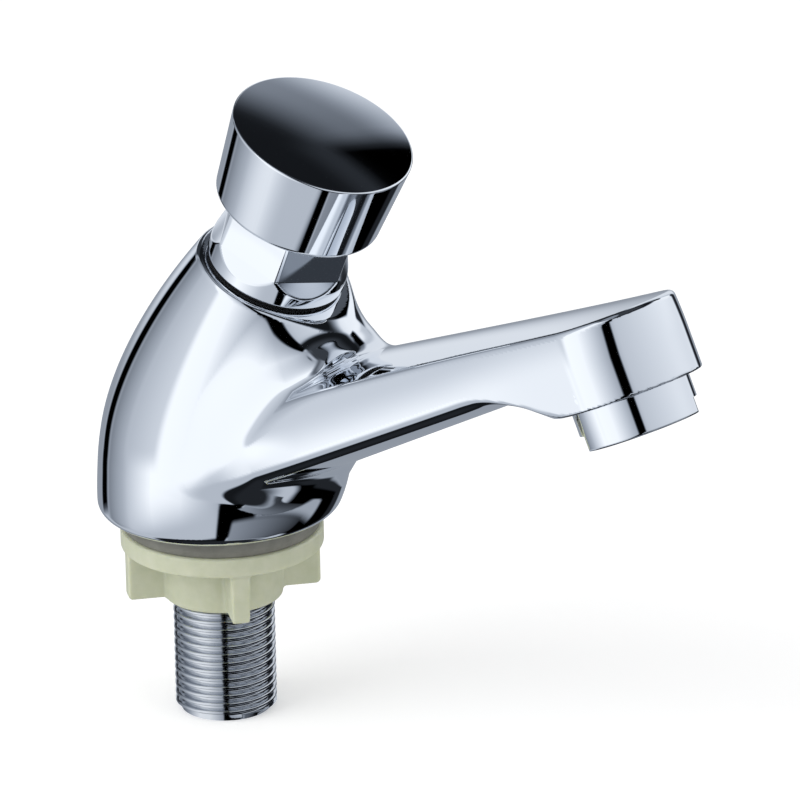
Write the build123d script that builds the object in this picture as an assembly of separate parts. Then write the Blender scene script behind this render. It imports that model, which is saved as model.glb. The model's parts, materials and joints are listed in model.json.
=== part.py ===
from build123d import *
import math
import os

# Push timed tap for a wash basin, in millimetres.
# The origin is on the axis of the threaded tail, at the underside of the body. +Z is up.
# +X points along the spout. The push button and its cartridge stand on an axis that leans
# towards the spout, and the outlet stands square to the spout.

# Threaded tail, a half inch pipe thread
TAIL_CREST_RADIUS = 10.4775
TAIL_COVERED_CREST_RADIUS = 10.3
THREAD_PITCH = 1.814
THREAD_DEPTH = 1.162
THREAD_CREST_WIDTH = 0.30
THREAD_ROOT_WIDTH = 0.25
TAIL_LENGTH = 43.2
TAIL_BORE_RADIUS = 6.5
TAIL_TOP_PLAIN = 1.2
TAIL_END_CHAMFER = 1.0
SPIGOT_RADIUS = 9.0
SPIGOT_HEIGHT = 6.0

# Body column
FOOT_RADIUS = 23.6
FOOT_EDGE_RADIUS = 2.7
BELLY_RADIUS = 25.9
COLLAR_RADIUS = 16.0
COLLAR_FORWARD = 16.2
COLLAR_HEIGHT = 56.3
BUTTON_LEAN = 23.9
COLLAR_EDGE_RADIUS = 0.8
BELLY_SHARE = 0.23
SHOULDER_POWER = 1.58

# Spout, in a frame whose origin is where the outlet axis meets the rim of the head
OUTLET_FORWARD = 108.3
SPOUT_ROOT_HEIGHT = 6.8
SPOUT_RISE = 25.6
HEAD_RADIUS = 15.1
HEAD_CROWN = 1.1
ROOT_CROWN = 5.5
ROOT_WIDTH_SHARE = 0.8
ROOT_UNDERSIDE = 1.4
ROOT_UNDER_SAG = 4.6
NECK_DISTANCE = 22.0
NECK_WAIST = 0.1
NECK_UNDERSIDE = 5.8
NECK_UNDER_SAG = 2.4
HEAD_EDGE_HEIGHT = 16.2
ROOT_EDGE_HEIGHT = 20.1
RAMP_MARGIN = 0.3
RAMP_SLOPE = 40.0
SPOUT_EDGE_RADIUS = 1.5
SPOUT_UNDER_RADIUS = 1.0
ROOT_BLEND = 3.0

# Waterways in the body
THREAD_BORE_RADIUS = 13.0
THREAD_BORE_DEPTH = 14.0
WATER_BORE_RADIUS = 12.0
WATER_BORE_DEPTH = 40.0
SEAL_BORE_RADIUS = 11.0
SEAL_BORE_DEPTH = 44.0
INLET_BORE_RADIUS = 8.0
VALVE_ROOM = 0.5
RISER_RADIUS = 6.2
RISER_TOP = 14.0
SPOUT_WATERWAY_HEIGHT = 11.5
SPOUT_WATERWAY_HALF_WIDTH = 6.0
SPOUT_WATERWAY_HALF_DEPTH = 2.8
OUTLET_SOCKET_RADIUS = 11.0
OUTLET_THROAT_RADIUS = 6.5
OUTLET_THROAT_DEPTH = 14.3

# Seals and hold-down below the body
BASE_GASKET_RADIUS = 20.2
BASE_GASKET_THICKNESS = 2.9
TAIL_WASHER_THICKNESS = 1.0
NUT_FLANGE_RADIUS = 21.0
NUT_FLANGE_THICKNESS = 4.0
NUT_HUB_RADIUS = 12.8
NUT_HEIGHT = 15.4
WING_COUNT = 4
WING_REACH = 20.5
WING_THICKNESS = 4.4
WING_HEIGHT = 10.4
WING_CHAMFER = 1.4
WING_TURN = 51.0
NUT_EDGE_RADIUS = 0.5
NUT_TRAVEL = 20.0

# Bonnet, measured along the button axis from the collar rim
BONNET_GASKET_THICKNESS = 0.8
BONNET_BARREL_RADIUS = 14.4
BONNET_HEX_FLATS = 24.9
BONNET_HEX_BOTTOM = 5.0
BONNET_HEX_TURN = 6.0
BONNET_HEX_TOP = 16.6
BONNET_TOP = 18.4
BONNET_THREAD_RADIUS = 12.95
BONNET_THREAD_LENGTH = 12.0
BONNET_CAVITY_RADIUS = 9.4
BONNET_WEB_BOTTOM = 6.0
BONNET_WEB_TOP = 8.0
BONNET_BUSH_RADIUS = 7.0
BONNET_EDGE_RADIUS = 0.4

# Push button
BUTTON_BOTTOM = 15.9
BUTTON_TOP = 34.1
BUTTON_BOTTOM_RADIUS = 17.1
BUTTON_TOP_RADIUS = 18.8
BUTTON_DOME = 0.9
BUTTON_CROWN_THICKNESS = 3.6
BUTTON_BORE_RADIUS = 15.0
BUTTON_BOSS_RADIUS = 7.0
BUTTON_BOSS_HEIGHT = 3.6
BUTTON_LOWER_EDGE_RADIUS = 1.2
BUTTON_TOP_EDGE_RADIUS = 0.35
BUTTON_STROKE = 5.0

# Spindle and what rides on it
SPINDLE_RADIUS = 4.0
SPINDLE_LOWER_RADIUS = 3.0
SPINDLE_HEAD_DEPTH = 4.4
LOCK_NUT_RADIUS = 6.4
LOCK_NUT_HEIGHT = 2.4
PISTON_RADIUS = 8.4
PISTON_TOP = -20.0
PISTON_HEIGHT = 6.0
PISTON_GROOVE_RADIUS = 6.9
PISTON_GROOVE_HEIGHT = 2.2
BLEED_RADIUS = 1.2
BLEED_BORE_RADIUS = 0.35
BLEED_OFFSET = 5.4
PISTON_CLIP_RADIUS = 4.6
PISTON_CLIP_THICKNESS = 0.7
PISTON_CLIP_GROOVE_RADIUS = 2.5
CLIP_SLOT_SHARE = 0.6
VALVE_WASHER_RADIUS = 6.5
VALVE_WASHER_THICKNESS = 1.5
VALVE_NUT_RADIUS = 6.2
VALVE_NUT_THICKNESS = 1.3

# Return spring
SPRING_WIRE_DIAMETER = 1.1
SPRING_MEAN_RADIUS = 6.7
SPRING_TURNS = 6.0

# Cartridge barrel and seat
BARREL_FLANGE_RADIUS = 12.8
BARREL_FLANGE_THICKNESS = 2.0
BARREL_RADIUS = 9.9
BARREL_BORE_RADIUS = 8.5
BARREL_SEAL_RADIUS = 10.9
BARREL_WINDOW_BOTTOM = -39.4
BARREL_WINDOW_HEIGHT = 5.2
BARREL_WINDOW_WIDTH = 4.6
BARREL_WINDOW_COUNT = 6
BARREL_SEAL_GROOVE_RADIUS = 9.5
BARREL_SEAL_GROOVE_WIDTH = 2.0
SEAT_THICKNESS = 2.0
SEAT_BORE_RADIUS = 5.0

# Stem bush and its seal
BUSH_TOP = 17.2
BUSH_CLIP_THICKNESS = 0.8
BUSH_CLIP_RADIUS = 7.5
BUSH_CLIP_BORE_RADIUS = 5.6

# Outlet
RING_RADIUS = 12.1
RING_HEIGHT = 8.0
RING_FLAT_HEIGHT = 3.2
RING_FLAT_ACROSS = 22.6
RING_FLAT_TURN = 44.0
RING_BORE_RADIUS = 9.5
RING_THREAD_HEIGHT = 6.0
RING_EDGE_RADIUS = 0.35
RING_LEDGE_HEIGHT = 1.0
RING_LEDGE_RADIUS = 8.6
OUTLET_GASKET_THICKNESS = 1.8
OUTLET_GASKET_BORE_RADIUS = 7.8
OUTLET_GRID_THICKNESS = 2.0
OUTLET_GRID_HOLE_RADIUS = 0.75
OUTLET_GRID_PITCH = 2.3
CAGE_TOP_THICKNESS = 1.8
CAGE_WALL = 1.6
CAGE_HOLE_RADIUS = 0.6
CAGE_HOLE_COUNT = 16
CAGE_HOLE_CIRCLE = 6.0
SCREEN_THICKNESS = 0.3
SCREEN_HOLE_RADIUS = 0.55
SCREEN_PITCH = 1.6

# Inlet strainer in the foot of the tail
STRAINER_THICKNESS = 1.0
STRAINER_HEIGHT = 8.0
STRAINER_WALL = 0.9
STRAINER_RECESS = 0.6
STRAINER_HOLE_RADIUS = 0.8
STRAINER_HOLE_PITCH = 2.4

# Clearances
STATIC_GAP = 0.05
RUNNING_GAP = 0.06
SEAL_GAP = 0.02
SKIRT_GAP = 0.3
SEAT_GAP = 0.1
CUT_OVERRUN = 1.0

# Frames
lean = math.radians(BUTTON_LEAN)
rise = math.radians(SPOUT_RISE)
BUTTON_AXIS = Vector(math.sin(lean), 0, math.cos(lean))
BUTTON_SIDE = Vector(math.cos(lean), 0, -math.sin(lean))
SPOUT_ALONG = Vector(math.cos(rise), 0, math.sin(rise))
SPOUT_UP = Vector(-math.sin(rise), 0, math.cos(rise))
COLLAR_CENTRE = Vector(COLLAR_FORWARD, 0, COLLAR_HEIGHT)
ROOT_DISTANCE = (OUTLET_FORWARD - COLLAR_FORWARD) / math.cos(rise)
ROOT_HALF_WIDTH = BELLY_RADIUS * ROOT_WIDTH_SHARE
NECK_HALF_WIDTH = HEAD_RADIUS - NECK_WAIST
OUTLET_CENTRE = Vector(OUTLET_FORWARD, 0, SPOUT_ROOT_HEIGHT + ROOT_DISTANCE * math.sin(rise))
button_frame = Plane(origin=COLLAR_CENTRE, x_dir=BUTTON_SIDE, z_dir=BUTTON_AXIS)
spout_frame = Plane(origin=OUTLET_CENTRE, x_dir=SPOUT_ALONG, z_dir=SPOUT_UP)


def tube(outer_radius, inner_radius, bottom, top):
    """A hollow cylinder about Z between two heights."""
    solid = disc(outer_radius, bottom, top)
    return solid - disc(inner_radius, bottom - CUT_OVERRUN, top + CUT_OVERRUN)


def disc(radius, bottom, top):
    """A solid cylinder about Z between two heights."""
    cylinder = Cylinder(radius, top - bottom, align=(Align.CENTER, Align.CENTER, Align.MIN))
    return Pos(0, 0, bottom) * cylinder


def turned(points):
    """A solid of revolution about Z from (radius, height) points."""
    outline = Polyline([(radius, 0, height) for radius, height in points], close=True)
    return revolve(make_face(outline), Axis.Z, 360)


def o_ring(middle_radius, section_radius, height):
    """A rubber ring of round section about Z."""
    return Pos(0, 0, height) * Torus(middle_radius, section_radius)


def ring_of(piece, count, first_angle=0):
    """Copies of one piece, evenly spaced about Z."""
    return [Rot(0, 0, first_angle + index * 360 / count) * piece for index in range(count)]


def hex_grid_places(pitch, reach):
    """Places on a triangular grid within a circle of the given reach."""
    row_height = pitch * math.sqrt(3) / 2
    rows = int(reach / row_height)
    places = []
    for row in range(-rows, rows + 1):
        shift = pitch / 2 if row % 2 else 0
        columns = int(reach / pitch) + 1
        for column in range(-columns, columns + 1):
            x = column * pitch + shift
            y = row * row_height
            if math.hypot(x, y) <= reach:
                places.append((x, y))
    return places


def on_button(piece):
    """Moves a piece from its own axis to the button axis, height 0 at the collar rim."""
    return button_frame.location * piece


def on_outlet(piece):
    """Moves a piece from its own axis to the outlet axis, height 0 at the head's rim."""
    return spout_frame.location * piece


def column_radius(share):
    """Radius of the column at a share of its curved centre line, before its foot is rounded."""
    if share < BELLY_SHARE:
        down = 1 - share / BELLY_SHARE
        return BELLY_RADIUS - (BELLY_RADIUS - FOOT_RADIUS) * down ** 2
    along = (share - BELLY_SHARE) / (1 - BELLY_SHARE)
    return BELLY_RADIUS - (BELLY_RADIUS - COLLAR_RADIUS) * along ** SHOULDER_POWER


def column():
    """The column: circles lofted along a centre line that starts upright and ends leaning.

    Its foot and the rim of its collar are rounded."""
    crossing = Vector(0, 0, COLLAR_HEIGHT - COLLAR_FORWARD / math.tan(lean))
    centre_line = Bezier(Vector(0, 0, 0), crossing, COLLAR_CENTRE)
    station_shares = (0, 0.10, 0.20, 0.32, 0.45, 0.60, 0.75, 0.88, 1)
    rings = []
    for share in station_shares:
        plane = Plane(origin=centre_line @ share, x_dir=(0, 1, 0), z_dir=centre_line % share)
        rings.append(plane * Circle(column_radius(share)))
    trunk = loft(rings)
    collar_edge = trunk.edges().sort_by(Axis.Z)[-1]
    trunk = fillet(collar_edge, COLLAR_EDGE_RADIUS)
    foot_edge = trunk.edges().sort_by(Axis.Z)[0]
    return fillet(foot_edge, FOOT_EDGE_RADIUS)


def spout_plan():
    """The spout seen square to its top: a round nose and sides that widen to the root."""
    near_end = (-ROOT_DISTANCE, -ROOT_HALF_WIDTH)
    far_end = (-ROOT_DISTANCE, ROOT_HALF_WIDTH)
    flare = (ROOT_HALF_WIDTH - NECK_HALF_WIDTH) / (ROOT_DISTANCE - NECK_DISTANCE)
    near_neck = (-NECK_DISTANCE, -NECK_HALF_WIDTH)
    far_neck = (-NECK_DISTANCE, NECK_HALF_WIDTH)
    near = Spline((0, -HEAD_RADIUS), near_neck, near_end, tangents=[(-1, 0), (-1, -flare)])
    far = Spline((0, HEAD_RADIUS), far_neck, far_end, tangents=[(-1, 0), (-1, flare)])
    nose = ThreePointArc((0, HEAD_RADIUS), (HEAD_RADIUS, 0), (0, -HEAD_RADIUS))
    return make_face([nose, near, Line(near_end, far_end), far])


def arc_section(distance, half_width, edge_height, middle_height, far_height):
    """A section across the spout between a crowned arc and a flat line at far_height."""
    sag = middle_height - edge_height
    arc_radius = (half_width ** 2 + sag ** 2) / (2 * abs(sag))
    half = half_width + CUT_OVERRUN
    drop = arc_radius - math.sqrt(arc_radius ** 2 - half ** 2)
    shoulder = middle_height - math.copysign(drop, sag)
    lines = Polyline([(half, shoulder), (half, far_height), (-half, far_height), (-half, shoulder)])
    arc = ThreePointArc((-half, shoulder), (0, middle_height), (half, shoulder))
    across = Plane(origin=(distance, 0, 0), x_dir=(0, 1, 0), z_dir=(1, 0, 0))
    return across * make_face([lines, arc])


def crown():
    """The space under the crowned top, from behind the root to past the nose."""
    back = -ROOT_DISTANCE - CUT_OVERRUN
    front = HEAD_RADIUS + CUT_OVERRUN
    floor = -CUT_OVERRUN
    root = arc_section(back, ROOT_HALF_WIDTH, ROOT_EDGE_HEIGHT, ROOT_EDGE_HEIGHT + ROOT_CROWN, floor)
    nose = arc_section(front, HEAD_RADIUS, HEAD_EDGE_HEIGHT, HEAD_EDGE_HEIGHT + HEAD_CROWN, floor)
    return loft([root, nose])


def underside():
    """The space below the bellied underside of the arm, less the cone that carries the head."""
    back = -ROOT_DISTANCE - CUT_OVERRUN
    floor = -HEAD_RADIUS
    root = arc_section(back, ROOT_HALF_WIDTH, ROOT_UNDERSIDE + ROOT_UNDER_SAG, ROOT_UNDERSIDE, floor)
    neck = arc_section(0, NECK_HALF_WIDTH, NECK_UNDERSIDE + NECK_UNDER_SAG, NECK_UNDERSIDE, floor)
    cone_height = NECK_UNDERSIDE + NECK_UNDER_SAG + CUT_OVERRUN
    spread = 1 / math.tan(math.radians(RAMP_SLOPE))
    rim = HEAD_RADIUS + RAMP_MARGIN
    cone = turned([
        (0, floor - CUT_OVERRUN),
        (rim, floor - CUT_OVERRUN),
        (rim, 0),
        (rim + cone_height * spread, cone_height),
        (0, cone_height),
    ])
    return loft([root, neck]) - cone


def spout():
    """The spout: its plan, cut to the crowned top and to the underside, with softened edges."""
    top = ROOT_EDGE_HEIGHT + ROOT_CROWN + CUT_OVERRUN
    solid = (extrude(spout_plan(), top) & crown()) - underside()
    middle = -ROOT_DISTANCE / 2 - CUT_OVERRUN
    upper_edges = []
    for edge in solid.edges():
        place = edge.center()
        if place.Z > HEAD_EDGE_HEIGHT and place.X > middle:
            upper_edges.append(edge)
    solid = fillet(upper_edges, SPOUT_EDGE_RADIUS)
    lower_edges = []
    for edge in solid.edges():
        if edge.length > ROOT_DISTANCE / 2 and edge.center().Z < HEAD_EDGE_HEIGHT / 2:
            lower_edges.append(edge)
    return fillet(lower_edges, SPOUT_UNDER_RADIUS)


def water_line_cross():
    """Distance back from the outlet axis at which the spout's waterway meets the button axis."""
    start = OUTLET_CENTRE + SPOUT_UP * SPOUT_WATERWAY_HEIGHT - COLLAR_CENTRE
    across = start.dot(BUTTON_SIDE)
    return across / SPOUT_ALONG.dot(BUTTON_SIDE)


def waterways():
    """Everything that is hollow in the casting."""
    inlet_bottom = valve_heights()[2] - BUTTON_STROKE - VALVE_ROOM
    cartridge_bore = turned([
        (0, inlet_bottom),
        (INLET_BORE_RADIUS, inlet_bottom),
        (INLET_BORE_RADIUS, -SEAL_BORE_DEPTH),
        (SEAL_BORE_RADIUS, -SEAL_BORE_DEPTH),
        (SEAL_BORE_RADIUS, -WATER_BORE_DEPTH),
        (WATER_BORE_RADIUS, -WATER_BORE_DEPTH),
        (WATER_BORE_RADIUS, -THREAD_BORE_DEPTH),
        (THREAD_BORE_RADIUS, -THREAD_BORE_DEPTH),
        (THREAD_BORE_RADIUS, CUT_OVERRUN),
        (0, CUT_OVERRUN),
    ])
    socket_top = SPIGOT_HEIGHT + TAIL_WASHER_THICKNESS
    tail_socket = disc(SPIGOT_RADIUS + STATIC_GAP, -CUT_OVERRUN, socket_top)
    riser = disc(RISER_RADIUS, socket_top - CUT_OVERRUN, RISER_TOP)
    slot_plane = Plane(origin=(0, 0, SPOUT_WATERWAY_HEIGHT), x_dir=(0, 1, 0), z_dir=(-1, 0, 0))
    slot = slot_plane * SlotOverall(2 * SPOUT_WATERWAY_HALF_WIDTH, 2 * SPOUT_WATERWAY_HALF_DEPTH)
    spout_bore = extrude(slot, water_line_cross())
    outlet_socket = disc(OUTLET_SOCKET_RADIUS, -CUT_OVERRUN, RING_THREAD_HEIGHT + OUTLET_GASKET_THICKNESS)
    throat = disc(OUTLET_THROAT_RADIUS, 0, OUTLET_THROAT_DEPTH)
    return [
        on_button(cartridge_bore),
        tail_socket,
        riser,
        on_outlet(spout_bore),
        on_outlet(outlet_socket),
        on_outlet(throat),
    ]


def tap_body():
    """The chromed casting: column and spout in one, with its waterways."""
    trunk = column()
    branch = on_outlet(spout())
    shell = trunk + branch
    shell = fillet(new_edges(trunk, branch, combined=shell), ROOT_BLEND)
    for hollow in waterways():
        shell -= hollow
    return shell


def inlet_tail():
    """The threaded tail: spigot in the body, plain top, thread grooves and a chamfered end.

    The turns that the tightened nut covers are cut a little below full size."""
    flank = (THREAD_PITCH - THREAD_CREST_WIDTH - THREAD_ROOT_WIDTH) / 2
    root = TAIL_CREST_RADIUS - THREAD_DEPTH
    covered_bottom = -BASE_GASKET_THICKNESS - NUT_HEIGHT - SEAT_GAP
    crest = TAIL_COVERED_CREST_RADIUS
    points = [
        (TAIL_BORE_RADIUS, SPIGOT_HEIGHT),
        (SPIGOT_RADIUS, SPIGOT_HEIGHT),
        (SPIGOT_RADIUS, 0),
        (crest, 0),
    ]
    height = -TAIL_TOP_PLAIN
    while height - THREAD_PITCH > TAIL_END_CHAMFER - TAIL_LENGTH:
        points.append((crest, height))
        points.append((root, height - flank))
        height -= flank + THREAD_ROOT_WIDTH
        points.append((root, height))
        height -= flank
        if height < covered_bottom:
            crest = TAIL_CREST_RADIUS
        points.append((crest, height))
        height -= THREAD_CREST_WIDTH
    points += [
        (TAIL_CREST_RADIUS, TAIL_END_CHAMFER - TAIL_LENGTH),
        (TAIL_CREST_RADIUS - TAIL_END_CHAMFER, -TAIL_LENGTH),
        (TAIL_BORE_RADIUS, -TAIL_LENGTH),
    ]
    return turned(points)


def tail_washer():
    """Fibre washer between the spigot and the floor of its socket."""
    return tube(SPIGOT_RADIUS, TAIL_BORE_RADIUS, SPIGOT_HEIGHT, SPIGOT_HEIGHT + TAIL_WASHER_THICKNESS)


def inlet_strainer():
    """A perforated cup in the foot of the tail."""
    bottom = STRAINER_RECESS - TAIL_LENGTH
    top = bottom + STRAINER_HEIGHT
    radius = TAIL_BORE_RADIUS - STATIC_GAP
    inside = disc(radius - STRAINER_WALL, bottom - CUT_OVERRUN, top - STRAINER_THICKNESS)
    cup = disc(radius, bottom, top) - inside
    reach = radius - STRAINER_WALL - STRAINER_HOLE_RADIUS
    hole = disc(STRAINER_HOLE_RADIUS, bottom, top + CUT_OVERRUN)
    return cup - [Pos(x, y, 0) * hole for x, y in hex_grid_places(STRAINER_HOLE_PITCH, reach)]


def base_gasket():
    """Rubber gasket between the body and the basin."""
    return tube(BASE_GASKET_RADIUS, TAIL_CREST_RADIUS + STATIC_GAP, -BASE_GASKET_THICKNESS, 0)


def backnut():
    """Moulded nut with a flange, a hub and four finger wings."""
    top = -BASE_GASKET_THICKNESS
    flange_bottom = top - NUT_FLANGE_THICKNESS
    bottom = top - NUT_HEIGHT
    flange = disc(NUT_FLANGE_RADIUS, flange_bottom, top)
    flange = fillet(flange.edges().filter_by(GeomType.CIRCLE), NUT_EDGE_RADIUS)
    hub = disc(NUT_HUB_RADIUS, bottom, top)
    wing_bottom = flange_bottom - WING_HEIGHT
    wing_outline = Polyline([
        (0, flange_bottom + NUT_EDGE_RADIUS),
        (WING_REACH, flange_bottom + NUT_EDGE_RADIUS),
        (WING_REACH, wing_bottom + WING_CHAMFER),
        (WING_REACH - WING_CHAMFER, wing_bottom),
        (0, wing_bottom),
    ], close=True)
    wing = extrude(make_face(Plane.XZ * wing_outline), WING_THICKNESS / 2, both=True)
    nut = flange + hub
    for placed_wing in ring_of(wing, WING_COUNT, WING_TURN):
        nut += placed_wing
    return nut - disc(TAIL_CREST_RADIUS + RUNNING_GAP, bottom - CUT_OVERRUN, top + CUT_OVERRUN)


def bonnet_gasket():
    """Black rubber ring between the collar and the bonnet."""
    outer_radius = BONNET_BARREL_RADIUS - STATIC_GAP
    return on_button(tube(outer_radius, BONNET_THREAD_RADIUS + STATIC_GAP, 0, BONNET_GASKET_THICKNESS))


def bonnet_nut():
    """The bonnet: a threaded skirt, a barrel with six flats for a spanner, and the bush seat."""
    skirt_bottom = -BONNET_THREAD_LENGTH
    clip_top = BUSH_TOP + BUSH_CLIP_THICKNESS
    web_bore = SPINDLE_RADIUS + SKIRT_GAP
    barrel = turned([
        (BONNET_CAVITY_RADIUS, skirt_bottom),
        (BONNET_THREAD_RADIUS, skirt_bottom),
        (BONNET_THREAD_RADIUS, BONNET_GASKET_THICKNESS),
        (BONNET_BARREL_RADIUS - BONNET_EDGE_RADIUS, BONNET_GASKET_THICKNESS),
        (BONNET_BARREL_RADIUS, BONNET_GASKET_THICKNESS + BONNET_EDGE_RADIUS),
        (BONNET_BARREL_RADIUS, BONNET_TOP - BONNET_EDGE_RADIUS),
        (BONNET_BARREL_RADIUS - BONNET_EDGE_RADIUS, BONNET_TOP),
        (BONNET_BUSH_RADIUS, BONNET_TOP),
        (BONNET_BUSH_RADIUS, clip_top),
        (BUSH_CLIP_RADIUS, clip_top),
        (BUSH_CLIP_RADIUS, BUSH_TOP),
        (BONNET_BUSH_RADIUS, BUSH_TOP),
        (BONNET_BUSH_RADIUS, BONNET_WEB_TOP),
        (web_bore, BONNET_WEB_TOP),
        (web_bore, BONNET_WEB_BOTTOM),
        (BONNET_CAVITY_RADIUS, BONNET_WEB_BOTTOM),
    ])
    hexagon = RegularPolygon(BONNET_HEX_FLATS / 2, 6, major_radius=False)
    flats = extrude(hexagon, BONNET_HEX_TOP - BONNET_HEX_BOTTOM)
    flats = Pos(0, 0, BONNET_HEX_BOTTOM) * Rot(0, 0, BONNET_HEX_TURN) * flats
    waste = disc(BONNET_BARREL_RADIUS + CUT_OVERRUN, BONNET_HEX_BOTTOM, BONNET_HEX_TOP) - flats
    return on_button(barrel - waste)


def push_button():
    """The button: a flared cap with a domed top, a skirt that slides over the bonnet, and a boss."""
    ceiling = BUTTON_TOP - BUTTON_CROWN_THICKNESS
    outline = [
        Line((BUTTON_BORE_RADIUS, BUTTON_BOTTOM), (BUTTON_BOTTOM_RADIUS, BUTTON_BOTTOM)),
        Line((BUTTON_BOTTOM_RADIUS, BUTTON_BOTTOM), (BUTTON_TOP_RADIUS, BUTTON_TOP)),
        ThreePointArc((BUTTON_TOP_RADIUS, BUTTON_TOP), dome_point(), (0, BUTTON_TOP + BUTTON_DOME)),
        Line((0, BUTTON_TOP + BUTTON_DOME), (0, ceiling)),
        Line((0, ceiling), (BUTTON_BORE_RADIUS, ceiling)),
        Line((BUTTON_BORE_RADIUS, ceiling), (BUTTON_BORE_RADIUS, BUTTON_BOTTOM)),
    ]
    cap = revolve(Plane.XZ * make_face(outline), Axis.Z, 360)
    rims = cap.edges().filter_by(GeomType.CIRCLE)
    lower_edge = [rim for rim in rims if abs(rim.radius - BUTTON_BOTTOM_RADIUS) < STATIC_GAP]
    upper_edge = [rim for rim in rims if abs(rim.radius - BUTTON_TOP_RADIUS) < STATIC_GAP]
    cap = fillet(lower_edge, BUTTON_LOWER_EDGE_RADIUS)
    cap = fillet(upper_edge, BUTTON_TOP_EDGE_RADIUS)
    boss_bottom = ceiling - BUTTON_BOSS_HEIGHT
    boss = disc(BUTTON_BOSS_RADIUS, boss_bottom, ceiling)
    spindle_hole = disc(SPINDLE_RADIUS + STATIC_GAP, boss_bottom - CUT_OVERRUN, spindle_top() + STATIC_GAP)
    return on_button(cap + boss - spindle_hole)


def dome_point():
    """The middle of the arc from the button's rim to the top of its dome."""
    arc_radius = (BUTTON_TOP_RADIUS ** 2 + BUTTON_DOME ** 2) / (2 * BUTTON_DOME)
    half = BUTTON_TOP_RADIUS / 2
    return (half, BUTTON_TOP + BUTTON_DOME - arc_radius + math.sqrt(arc_radius ** 2 - half ** 2))


def spindle_top():
    """Height of the spindle's upper end, inside the button's boss."""
    return BUTTON_TOP - BUTTON_CROWN_THICKNESS - BUTTON_BOSS_HEIGHT + SPINDLE_HEAD_DEPTH


def valve_heights():
    """Top of the valve washer, top of its nut and the foot of the spindle."""
    washer_top = -SEAL_BORE_DEPTH - SEAT_GAP
    nut_top = washer_top - VALVE_WASHER_THICKNESS
    return washer_top, nut_top, nut_top - VALVE_NUT_THICKNESS


def spindle():
    """The rod from the button to the valve, thinner below the piston."""
    foot = valve_heights()[2]
    clip_top = PISTON_TOP - PISTON_HEIGHT
    clip_bottom = clip_top - PISTON_CLIP_THICKNESS - STATIC_GAP
    return on_button(turned([
        (0, foot),
        (SPINDLE_LOWER_RADIUS, foot),
        (SPINDLE_LOWER_RADIUS, clip_bottom),
        (PISTON_CLIP_GROOVE_RADIUS, clip_bottom),
        (PISTON_CLIP_GROOVE_RADIUS, clip_top),
        (SPINDLE_LOWER_RADIUS, clip_top),
        (SPINDLE_LOWER_RADIUS, PISTON_TOP),
        (SPINDLE_RADIUS, PISTON_TOP),
        (SPINDLE_RADIUS, spindle_top()),
        (0, spindle_top()),
    ]))


def button_lock_nut():
    """Hexagon nut that locks the button on the spindle."""
    top = BUTTON_TOP - BUTTON_CROWN_THICKNESS - BUTTON_BOSS_HEIGHT
    bottom = top - LOCK_NUT_HEIGHT
    nut = Pos(0, 0, bottom) * extrude(RegularPolygon(LOCK_NUT_RADIUS, 6), LOCK_NUT_HEIGHT)
    return on_button(nut - disc(SPINDLE_RADIUS + STATIC_GAP, bottom - CUT_OVERRUN, top + CUT_OVERRUN))


def piston():
    """The timing piston, with a groove for its lip seal and a hole for the bleed jet."""
    bottom = PISTON_TOP - PISTON_HEIGHT
    middle = PISTON_TOP - PISTON_HEIGHT / 2
    body = tube(PISTON_RADIUS, SPINDLE_LOWER_RADIUS + STATIC_GAP, bottom, PISTON_TOP)
    half_groove = PISTON_GROOVE_HEIGHT / 2
    groove_reach = PISTON_RADIUS + CUT_OVERRUN
    groove = tube(groove_reach, PISTON_GROOVE_RADIUS, middle - half_groove, middle + half_groove)
    jet_hole = disc(BLEED_RADIUS + STATIC_GAP, bottom - CUT_OVERRUN, PISTON_TOP + CUT_OVERRUN)
    jet_hole = Pos(BLEED_OFFSET, 0, 0) * jet_hole
    return on_button(body - groove - jet_hole)


def piston_lip_seal():
    """Rubber lip seal in the piston's groove."""
    middle = PISTON_TOP - PISTON_HEIGHT / 2
    half = PISTON_GROOVE_HEIGHT / 2 - STATIC_GAP
    lip = BARREL_BORE_RADIUS - RUNNING_GAP
    return on_button(turned([
        (PISTON_GROOVE_RADIUS + STATIC_GAP, middle - half),
        (PISTON_RADIUS - STATIC_GAP, middle - half),
        (lip, middle + half),
        (lip - half, middle + half),
        (PISTON_GROOVE_RADIUS + half, middle),
        (PISTON_GROOVE_RADIUS + STATIC_GAP, middle),
    ]))


def bleed_jet():
    """Brass jet through the piston: its fine bore sets how long the water runs."""
    jet = tube(BLEED_RADIUS, BLEED_BORE_RADIUS, PISTON_TOP - PISTON_HEIGHT, PISTON_TOP)
    return on_button(Pos(BLEED_OFFSET, 0, 0) * jet)


def slotted_ring(outer_radius, inner_radius, bottom, top):
    """A flat spring ring with a gap on one side."""
    ring = tube(outer_radius, inner_radius, bottom, top)
    slot = inner_radius * CLIP_SLOT_SHARE
    gap = Box(outer_radius, slot, top - bottom + CUT_OVERRUN)
    return ring - Pos((outer_radius + slot) / 2, 0, (bottom + top) / 2) * gap


def piston_clip():
    """Spring clip that holds the piston against the spindle's shoulder."""
    top = PISTON_TOP - PISTON_HEIGHT - STATIC_GAP
    inner_radius = PISTON_CLIP_GROOVE_RADIUS + STATIC_GAP
    return on_button(slotted_ring(PISTON_CLIP_RADIUS, inner_radius, top - PISTON_CLIP_THICKNESS, top))


def valve_washer():
    """Rubber washer that closes against the underside of the seat."""
    washer_top, nut_top, foot = valve_heights()
    return on_button(tube(VALVE_WASHER_RADIUS, SPINDLE_LOWER_RADIUS + STATIC_GAP, nut_top, washer_top))


def valve_nut():
    """Round nut that carries the valve washer on the spindle's foot."""
    washer_top, nut_top, foot = valve_heights()
    return on_button(tube(VALVE_NUT_RADIUS, SPINDLE_LOWER_RADIUS + STATIC_GAP, foot, nut_top))


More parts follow.
